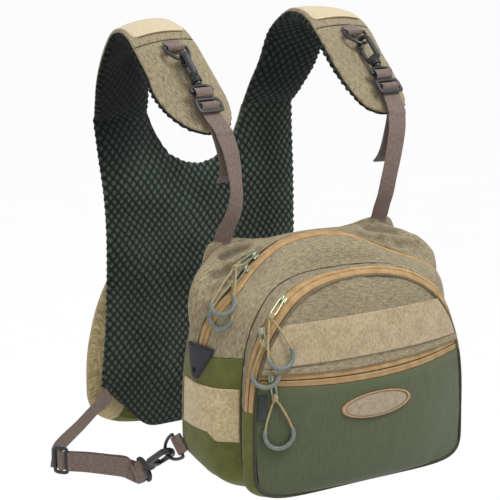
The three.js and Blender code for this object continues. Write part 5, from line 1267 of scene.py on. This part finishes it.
for name, side in SIDES:
    # cloth cover on the outside
    ts, run, total = arm_rows(0.1, 12.0, 150)
    vs = edge_steps(24, 62)
    T, V_ = np.meshgrid(ts, vs, indexing="ij")
    U = np.broadcast_to((run / total)[:, None], T.shape)
    half = arm_at(T)["half"]
    w = (2 * V_ - 1) * (half - 1) / half
    B, N = arm_face(side, T, w), arm_normal(side, T, w)
    seam_run = np.interp(5.6, ts, run) - 9.8
    seamline = 1.0 * gauss(run[:, None] - seam_run + 0 * T, 1.0)
    lift = roll(U, V_, total, 62, 1.2, 0.9) + crumple(B, 0.6, 40, 51) - seamline
    uvm = np.stack([w * half, np.broadcast_to(run[:, None], T.shape)], -1)
    make("arm_cover_" + name, np.concatenate([(B + N * lift[..., None]).reshape(-1, 3), (B + N * (-CLOTH)).reshape(-1, 3)]), shell_faces(*T.shape), M_KHAKI_ARM, two(uvm), two(np.stack([U, V_], -1)), 50,
         nodes=("arm_cover_" + name,), slot="khaki_cloth")
    # dark stitching in the seam across the arm below the patch
    ws = np.linspace(-0.94, 0.94, 60)
    tt = np.full(60, np.interp(seam_run, run, ts))
    bead("arm_seam_" + name, arm_face(side, tt, ws) - arm_normal(side, tt, ws) * 0.35, 0.6, M_PIPE, "khaki_cloth", False)
    # mesh pad under it
    ts, run, total = arm_rows(0.1, 12.06, 250)
    vs = edge_steps(46, 66)
    T, V_ = np.meshgrid(ts, vs, indexing="ij")
    U = np.broadcast_to((run / total)[:, None], T.shape)
    half = arm_at(T)["half"]
    bumps = 0.8 * np.sin(2 * math.pi * run[:, None] / 7.4) * smoothstep(0.82, 1.0, np.abs(2 * V_ - 1))
    w = (2 * V_ - 1) * (1 + bumps / half)
    B, N = arm_face(side, T, w), arm_normal(side, T, w)
    across, along = w * half, np.broadcast_to(run[:, None], T.shape)
    edge_mm = np.minimum(np.minimum(V_, 1 - V_) * 2 * half, U * total)
    thick = PAD_MID * pad_round(V_) * np.minimum(1.0, 0.4 + 2.5 * U)
    relief = 0.5 * dots(across - side * 4.0, along)
    top_ = B + N * (-CLOTH - GAP + 0.2 - 0.9 * gauss(edge_mm, 1.0))[..., None]
    low_ = B + N * (-CLOTH - GAP - thick - relief + 0.9 * gauss(edge_mm, 1.0))[..., None]
    pad = make("arm_pad_" + name, np.concatenate([top_.reshape(-1, 3), low_.reshape(-1, 3)]), shell_faces(*T.shape), M_MESH, two(np.stack([across - side * 4.0, along], -1)), two(np.stack([U, V_], -1)), 60,
               nodes=("arm_pad_" + name,), slot="spacer_mesh")
    # napped patch over the crest
    ts, run, total = arm_rows(5.6, 8.6, 60)
    vs = edge_steps(34, 56)
    T, V_ = np.meshgrid(ts, vs, indexing="ij")
    U = np.broadcast_to((run / total)[:, None], T.shape)
    half = arm_at(T)["half"]
    corner = np.clip(1 - np.minimum(U, 1 - U) * total / 9.0, 0, 1)
    narrow = 3.6 + 9.0 * (1 - np.sqrt(1 - corner ** 2 * 0.98))
    w = (2 * V_ - 1) * (half - narrow) / half
    B, N = arm_face(side, T, w), arm_normal(side, T, w)
    lift = 1.5 + roll(U, V_, total, 56, 1.1, 0.9) + crumple(B, 0.5, 30, 52)
    make("shoulder_patch_" + name, np.concatenate([(B + N * lift[..., None]).reshape(-1, 3), (B + N * 0.4).reshape(-1, 3)]), shell_faces(*T.shape), M_PATCH,
         two(np.stack([w * half, np.broadcast_to(run[:, None], T.shape)], -1)), two(np.stack([U, V_], -1)), 50, nodes=("shoulder_patch_" + name,), slot="tan_cloth")

# ------------------------------------------------------------ webbing and hardware
def web(name, path, across, width, nodes, hem_end=False, hem_start=False, spacing=0.9, smooth=True):
    """Woven strap along a path with rolled selvedges; a folded hem thickens an end."""
    pts, acr = np.array(path, float), np.array(across, float)
    key = np.concatenate([pts, acr * 0.0], 1)
    p = catmull(pts, spacing) if smooth else pts
    # carry the way across along the same curve
    run_k = np.concatenate([[0], np.cumsum(np.linalg.norm(np.diff(pts, axis=0), axis=1))])
    run = np.concatenate([[0], np.cumsum(np.linalg.norm(np.diff(p, axis=0), axis=1))])
    a = np.stack([np.interp(run / run[-1] * run_k[-1], run_k, acr[:, c]) for c in range(3)], -1)
    n = len(p)
    thick = np.full(n, TAPE)
    if hem_end:
        thick = thick + TAPE * 0.9 * smoothstep(run[-1] - 11.5, run[-1] - 10.5, run)
    if hem_start:
        thick = thick + TAPE * 0.9 * (1 - smoothstep(10.5, 11.5, run))
    k_ = np.linspace(-1, 1, 15)
    top_y = 0.5 * np.sqrt(np.maximum(0.0, 1 - np.abs(k_) ** 14)) * (0.92 + 0.08 * np.cos(k_ * math.pi * 5))
    sec_x = np.concatenate([k_, k_[::-1][1:-1]]) * width / 2
    sec_y = np.concatenate([top_y, -top_y[::-1][1:-1]])
    t = norm(np.gradient(p, axis=0))
    wv = norm(a - (a * t).sum(-1, keepdims=True) * t)
    h = np.cross(t, wv)
    rings = p[:, None] + sec_x[None, :, None] * wv[:, None] + (sec_y[None, :] * thick[:, None])[..., None] * h[:, None]
    v, f = tube_mesh(rings)
    uv = np.stack([np.tile(sec_x, n), np.repeat(run, len(sec_x))], -1)
    uv = np.concatenate([uv, uv[:1], uv[-1:]])
    return make(name, v, f, M_WEB, uv, uv * 0.01, 55, nodes=nodes, slot="webbing")


def wire_ring(name, f, lift, node, reach=RING_REACH, half=RING_HALF):
    q_ = np.linspace(0, math.pi, 25)
    bow = [f(reach * math.sin(a), half * math.cos(a), lift * reach * math.sin(a)) for a in q_]
    bar = [f(0.0, b, 0.0) for b in np.linspace(-half, half, 9)[1:-1]]
    p = chaikin(np.array(bow + bar), 2)
    r = sweep_rings(p, super_section(WIRE, WIRE, 2.0, 14), f.H, True)
    v, fc = tube_mesh(r, True)
    return make(name, v, fc, M_WIRE, v[:, [0, 2]], v[:, [0, 2]] * 0.01, None, nodes=(node,), slot="buckle_plastic")


def folded_loop(name, f, reach, drop, node):
    r = WIRE + GAP + TAPE / 2 + 0.3
    path = [f(-reach, 0, drop - 1.0), f(-reach * 0.55, 0, mix(drop, 0, 0.35) - 1.1)]
    path += [f(r * math.cos(a), 0, r * math.sin(a)) for a in np.linspace(-math.pi / 2, math.pi / 2, 7)]
    path += [f(-reach * 0.55, 0, mix(drop, 0, 0.35) + 1.1), f(-reach, 0, drop + 1.0)]
    return web(name, path, [f.B] * len(path), WEB - 1, (node,), spacing=0.6)


def hook_pieces(prefix, side_name, hook, eye):
    """Swivel snap hook: hooked spine, block and collar; its gate; the eye's boss and wire loop."""
    a0 = [(30.0, 6.7), (24.0, 6.7), (18.5, 6.7), (13.5, 6.7)]
    arc = [(9.0 + 6.7 * math.cos(t), 6.7 * math.sin(t)) for t in np.linspace(math.pi / 2, 3 * math.pi / 2, 19)]
    j = np.array(a0 + arc + [(11.2, -6.7), (12.5, -6.7)])
    path = catmull([hook(a, b, 0.0) for a, b in j], 0.8)
    run = np.linspace(0, 1, len(path))
    sc = 1 - 0.35 * smoothstep(0.965, 1.0, run) ** 2
    parts = [tube_mesh(sweep_rings(path, super_section(2.3, 3.3, 2.6, 22), hook.H, False, sc))]
    # block that carries the gate, drawn in to the collar
    rows = [(27.0, -7.4, 8.7, 2.6), (27.4, -8.1, 9.0, 3.1), (29.5, -8.0, 9.0, 3.3), (31.6, -7.2, 8.5, 3.5), (32.8, -6.1, 7.0, 4.0), (33.6, -5.4, 5.4, 4.8), (34.2, -5.4, 5.4, 5.4), (35.2, -5.4, 5.4, 5.4),
            (35.6, -4.6, 4.6, 4.6), (36.0, -4.6, 4.6, 4.6), (36.4, -5.4, 5.4, 5.4), (37.6, -5.4, 5.4, 5.4), (38.0, -4.9, 4.9, 4.9)]
    q_ = np.linspace(0, 2 * math.pi, 28, endpoint=False)
    rings = []
    for a, lo, hi, hh in rows:
        pw = 3.4 if a < 32 else 2.4 if a < 33.6 else 2.0
        c, s = np.cos(q_), np.sin(q_)
        b = (lo + hi) / 2 + (hi - lo) / 2 * np.sign(c) * np.abs(c) ** (2 / pw)
        hgt = hh * np.sign(s) * np.abs(s) ** (2 / pw)
        rings.append(hook(np.full(28, a), b, hgt))
    parts.append(tube_mesh(np.stack(rings)))
    v, f = gather(parts)
    make(prefix + "hook_body_" + side_name, v, f, M_PLASTIC, v[:, [0, 2]], v[:, [0, 2]] * 0.01, 50, nodes=(prefix + "hook_body_" + side_name,), slot="buckle_plastic")
    # gate with a thumb bump
    rows = [(13.3, 1.3, 1.3, 2.2), (13.6, 1.6, 1.7, 2.6), (14.5, 1.65, 2.7, 2.7), (15.9, 1.65, 3.0, 2.7), (17.3, 1.65, 2.7, 2.7), (18.7, 1.6, 1.8, 2.65), (20.6, 1.55, 1.6, 2.5), (23.0, 1.55, 1.6, 2.5), (25.2, 1.6, 1.65, 2.6), (26.1, 1.3, 1.3, 2.2), (26.4, 0.6, 0.6, 1.5)]
    rings = []
    for a, inn, outw, hh in rows:
        c, s = np.cos(q_), np.sin(q_)
        b = -6.9 + np.where(c > 0, inn, outw) * np.sign(c) * np.abs(c) ** (2 / 2.8)
        rings.append(hook(np.full(28, a), b, hh * np.sign(s) * np.abs(s) ** (2 / 2.8)))
    v, f = tube_mesh(np.stack(rings))
    make(prefix + "hook_gate_" + side_name, v, f, M_PLASTIC, v[:, [0, 2]], v[:, [0, 2]] * 0.01, 50, body=prefix + "gate_" + side_name, nodes=(prefix + "hook_gate_" + side_name,), slot="buckle_plastic")
    # eye
    rings = [eye(np.full(28, a), r * np.cos(q_), r * np.sin(q_)) for a, r in ((38.4, 3.2), (38.7, 3.8), (40.4, 3.8), (41.4, 3.4), (42.2, 2.2))]
    loop_ = chaikin(np.array([(42.4, -6.5), (42.4, 6.5), (45.6, 12.2), (49.8, 12.2), (49.8, -12.2), (45.6, -12.2)]), 3)
    p = eye(loop_[:, 0], loop_[:, 1], np.zeros(len(loop_)))
    v, f = gather([tube_mesh(np.stack(rings)), tube_mesh(sweep_rings(p, super_section(1.6, 2.2, 2.6, 18), eye.H, True), True)])
    make(prefix + "hook_eye_" + side_name, v, f, M_PLASTIC, v[:, [0, 2]], v[:, [0, 2]] * 0.01, 50, nodes=(prefix + "hook_eye_" + side_name,), slot="buckle_plastic")


def slide(name, g, node):
    corner = chaikin(np.array([(-7.4, -10.5), (-7.4, 10.5), (-5.9, 13.0), (5.9, 13.0), (7.4, 10.5), (7.4, -10.5), (5.9, -13.0), (-5.9, -13.0)]), 3)
    p = g(corner[:, 0], corner[:, 1], np.zeros(len(corner)))
    bar = g(np.zeros(13), np.linspace(-13.0, 13.0, 13), np.zeros(13))
    v, f = gather([tube_mesh(sweep_rings(p, super_section(1.85, 1.3, 2.8, 18), g.H, True), True), tube_mesh(sweep_rings(bar, super_section(1.4, 1.15, 2.8, 18), g.H))])
    return make(name, v, f, M_PLASTIC, v[:, [0, 2]], v[:, [0, 2]] * 0.01, 50, nodes=(node,), slot="buckle_plastic")


def hook_set(ring, lift, rise, twist):
    nose = ring(RING_REACH - 8.7, 0.0, lift * RING_REACH)
    axis = unit(ring.A + ring.H * rise)
    eye = frame_of(nose, axis, ring.B)
    tw = math.radians(twist)
    return frame_of(nose, axis, eye.B * math.cos(tw) + eye.H * math.sin(tw)), eye


RX = np.array([1.0, 0.0, 0.0])
for name, side in SIDES:
    down, out = unit((0, -0.698, -0.716)), unit((0, -0.716, 0.698))
    ring = frame_of(np.array([side * 110, 49.9, 327.85]) + out * 12.0 + down * 2, down, RX)
    hook, eye = hook_set(ring, RING_LIFT, 0.046, HOOK_TURN if side > 0 else 180 - HOOK_TURN)
    folded_loop("ring_loop_" + name, ring, 10, -2.4, "ring_loop_" + name)
    wire_ring("d_ring_" + name, ring, RING_LIFT, "d_ring_" + name)
    hook_pieces("", name, hook, eye)
    glide = frame_of(eye(66.0, 0.0, 0.0), eye.A, eye.B)
    slide("tri_glide_" + name, glide, "tri_glide_" + name)
    fl = np.array([side, 1.0, 1.0])
    run_ = catmull(np.array([(97, -20.8, 143), (97, -21.3, 150)] + CHEST_RUN[1:]) * fl, 6.0)
    tail = catmull(np.array(CHEST_TAIL) * fl, 9.0)
    wv = WAVE
    weave = [glide(a, 0.0, r) for a, r in ((9.5, -3.4), (7, -wv), (5.2, -wv * 0.72), (3.45, 0), (1.7, wv * 0.72), (0, wv), (-1.7, wv * 0.72), (-3.45, 0), (-5.2, -wv * 0.72), (-7, -wv), (-9.9, -2.5))]
    wrap = [eye(a, 0.0, r) for a, r in EYE_WRAP]
    under = [glide(a, 0.0, r) for a, r in ((-12, -5.0), (-8, -5.8), (0, -6.4), (8, -6.6))]
    path = list(run_) + weave + wrap + under + list(tail)
    # the strap turns a little on its way up, each side its own way
    share = np.linspace(0, 1, len(run_))
    turn = np.radians(np.interp(share, *(((0, 0.25, 0.55, 0.8, 1), (10, 4, -22, -10, 0)) if side < 0 else ((0, 0.5, 1), (8, 2, 6)))))
    across = [np.array([math.cos(a), -math.sin(a), 0.0]) for a in turn] + [RX] * (len(path) - len(run_))
    web("chest_web_" + name, path, across, WEB, ("chest_web_" + name,), hem_end=True)

for name, side in SIDES:
    fl = np.array([side, 1.0, 1.0])
    ring = frame_of(np.array(WAIST_BAR) * fl, unit(np.array(WAIST_PULL) * fl), (0, 0, side))
    hook, eye = hook_set(ring, 0.0, 0.0, HOOK_TURN if side > 0 else 180 - HOOK_TURN)
    folded_loop("waist_tab_" + name, ring, 9.6, 0.0, "waist_tab_" + name)
    wire_ring("waist_ring_" + name, ring, 0.0, "waist_ring_" + name)
    hook_pieces("waist_", name, hook, eye)
    bar, at = eye(49.8, 0.0, 0.0), np.array(WAIST_GLIDE) * fl
    glide = frame_of(at, bar - at, (0, 0, side))
    slide("waist_glide_" + name, glide, "waist_glide_" + name)
    path, across = [], []
    for x, y, z, wx, wz in WAIST_RUN:
        path.append(np.array([side * x, y, z]))
        across.append(np.array([side * wx, 0, wz]) * side)
    wv = WAVE
    for a, r in ((-9.5, 3.4), (-7, wv), (-5.2, wv * 0.72), (-3.45, 0), (-1.7, -wv * 0.72), (0, -wv), (1.7, -wv * 0.72), (3.45, 0), (5.2, wv * 0.72), (7, wv), (10, 3.2)):
        path.append(glide(a, 0.0, r)); across.append(glide.B)
    span = np.linalg.norm(bar - at)
    for t in (0.3, 0.55, 0.78):
        path.append(glide(span * t, 0.0, 4.5 + 3 * math.sin(math.pi * t))); across.append(mix(glide.B, eye.B, t * t))
    path.append(eye(57.5, 0.0, 4.2)); across.append(eye.B)
    for a, r in EYE_WRAP[::-1]:
        path.append(eye(a, 0.0, -r)); across.append(eye.B)
    path.append(eye(58.5, 0.0, -1.4)); across.append(eye.B)
    for t in (0.8, 0.55, 0.3):
        path.append(glide(span * t, 0.0, -1.5 + 3 * math.sin(math.pi * t))); across.append(mix(glide.B, eye.B, t * t))
    path.append(glide(9.4, 0.0, -2.4)); across.append(glide.B)
    web("waist_web_" + name, path, across, WEB, ("waist_web_" + name,))

# ------------------------------------------------------------ zip pulls
def arc_through(a, b, c, count):
    u, v = b - a, c - a
    n = np.cross(u, v)
    d = 2 * (n @ n)
    m = a + np.cross(n, u) * (v @ v) / d + np.cross(v, n) * (u @ u) / d
    e1 = a - m
    e2 = np.cross(unit(n), e1)
    w_ = c - m
    sweep = math.atan2(w_ @ e2, w_ @ e1) % (2 * math.pi)
    t = np.linspace(0, sweep, count)
    return unit(n), m + np.cos(t)[:, None] * e1 + np.sin(t)[:, None] * e2


def rounded_slab(f, a0, a1, half, h0, h1, power=4.0, count=24, soft=0.5):
    """Flat plate with rounded outline and softened faces, in a local frame."""
    q_ = np.linspace(0, 2 * math.pi, count, endpoint=False)
    c, s = np.cos(q_), np.sin(q_)
    ox, oy = np.sign(c) * np.abs(c) ** (2 / power), np.sign(s) * np.abs(s) ** (2 / power)
    rings = []
    for h, inset in ((h0, soft), (h0 + soft * 0.3, soft * 0.25), (h0 + soft, 0.0), (h1 - soft, 0.0), (h1 - soft * 0.3, soft * 0.25), (h1, soft)):
        rings.append(f((a0 + a1) / 2 + ((a1 - a0) / 2 - inset) * ox, (half - inset) * oy, np.full(count, h)))
    return tube_mesh(np.stack(rings))


CORDS = []
for name, *pts in PULLS:
    slider, out, knot, rear, low, fore = (np.array(p, float) for p in pts)
    out = unit(out)
    al = knot - slider
    al = unit(al - (al @ out) * out)
    f = frame_of(slider, al, np.cross(out, al))
    if f.H @ out < 0:
        f = frame_of(slider, al, -np.cross(out, al))
    # slider: two plates, the bridge over them, and a tab hinged under the bridge
    parts = [rounded_slab(f, -4.4, 4.4, 3.6, 1.2, 2.5, 4.0), rounded_slab(f, -4.0, 4.0, 3.3, 2.4, 3.6, 3.0)]
    bridge = catmull([f(-3.6, 0.0, 3.0), f(-2.6, 0.0, 5.0), f(0.0, 0.0, 5.6), f(2.6, 0.0, 5.0), f(3.6, 0.0, 3.0)], 0.6)
    parts.append(tube_mesh(sweep_rings(bridge, super_section(0.7, 1.3, 2.6, 12), f.B)))
    start = f(0.6, 0.0, 4.7)
    reach = np.linalg.norm(knot - start)
    tab_len = min(30.0, reach - 2.6)
    td = unit(knot - start)
    tf = frame_of(start, td, f.B)
    tab = chaikin(np.array([(0.0, -2.0), (0.0, 2.0), (tab_len * 0.5, 2.3), (tab_len, 2.6), (tab_len, -2.6), (tab_len * 0.5, -2.3)]), 3)
    parts.append(tube_mesh(sweep_rings(tf(tab[:, 0], tab[:, 1], np.zeros(len(tab))), super_section(0.75, 0.65, 2.6, 10), tf.H, True), True))
    v, fc = gather(parts)
    make(name + "_slider", v, fc, M_SLIDER, v[:, [0, 2]], v[:, [0, 2]] * 0.01, 45, nodes=(name,), slot="zip_pull")
    # moulded grip
    axis, arc = arc_through(rear, low, fore, 41)
    ends = np.linspace(0, 1, 41)
    sc = np.sqrt(np.clip(1 - (np.abs(2 * ends - 1) - 0.93).clip(0) ** 2 / 0.07 ** 2 * 0.8, 0.05, 1)) * (1 + 0.05 * np.cos(ends * 2 * math.pi * 9))
    v, fc = tube_mesh(sweep_rings(arc, super_section(2.15, 2.15, 2.3, 18), axis, False, sc))
    grip = make(name + "_grip", v, fc, M_GRIP, v[:, [0, 2]], v[:, [0, 2]] * 0.01, 60, nodes=(name,), slot="zip_pull")
    # knot at the tab's end, with the hitch that goes round the tab
    lat = unit((fore - rear) - ((fore - rear) @ td) * td)
    lift = unit(np.cross(td, lat))
    lift = lift if lift @ out > 0 else -lift
    kq = np.linspace(0, 6 * math.pi, 90)
    kp = knot + np.outer(np.cos(kq) * 2.2, lat) + np.outer(np.sin(kq) * 1.8, lift) + np.outer((kq / (6 * math.pi) - 0.5) * 4.4, td)
    hq = np.linspace(0, 2 * math.pi, 40, endpoint=False)
    hitch = start + td * tab_len + np.outer(np.cos(hq) * 2.1, td) + np.outer(np.sin(hq) * 1.9, lift)
    v, fc = gather([tube_mesh(sweep_rings(kp, super_section(1.05, 1.05, 2.0, 8), td)), tube_mesh(sweep_rings(hitch, super_section(1.05, 1.05, 2.0, 10), lat, True), True)])
    kn = make(name + "_knot", v, fc, M_CORD, np.zeros((len(v), 2)) + v[:, [0, 2]], v[:, [0, 2]] * 0.01, None, nodes=(name,), slot="zip_pull")
    # cord: two strands, each from the knot to its end of the grip
    for strand, end, sgn in (("a", arc[1], -1.0), ("b", arc[-2], 1.0)):
        p = catmull([knot + lat * (0.9 * sgn) - td * 1.8, knot + lat * (1.0 * sgn) + td * 1.4, mix(knot, end, 0.16) + lat * (1.2 * sgn), mix(knot, end, 0.4) + lat * (1.5 * sgn) + lift * 0.5, mix(knot, end, 0.72) + lat * (1.2 * sgn), end], 1.2)
        # one even turn of the section along the whole route
        t = norm(np.gradient(p, axis=0))
        lead = np.zeros_like(p)
        lead[0] = unit(np.cross(t[0], (0.3, 0.5, 0.8)))
        for i in range(1, len(p)):
            h = lead[i - 1] - (lead[i - 1] @ t[i]) * t[i]
            lead[i] = unit(h)
        v, fc = tube_mesh(sweep_rings(p, super_section(1.1, 1.1, 2.0, 10), lead))
        run = np.concatenate([[0], np.cumsum(np.linalg.norm(np.diff(p, axis=0), axis=1))])
        uv = np.stack([np.tile(np.arange(10) * 0.57, len(p)), np.repeat(run, 10)], -1)
        uv = np.concatenate([uv, uv[:1], uv[-1:]])
        cord = make(name + "_cord_" + strand, v, fc, M_CORD, uv, uv * 0.01, None, nodes=(name,), slot="zip_pull")
        CORDS.append((cord, p, run[-1], grip if strand == "a" else kn))

for cord, p, length, other in CORDS:
    m = (p - SEAT) * MM
    tuple(float(c) for c in m[0])
    [tuple(float(c) for c in q_) for q_ in m]

# ------------------------------------------------------------ size
plain = lambda b: [[float(c) for c in corner] for corner in b]
{"cad": plain(CAD_BOX), "visual": plain(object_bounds())}
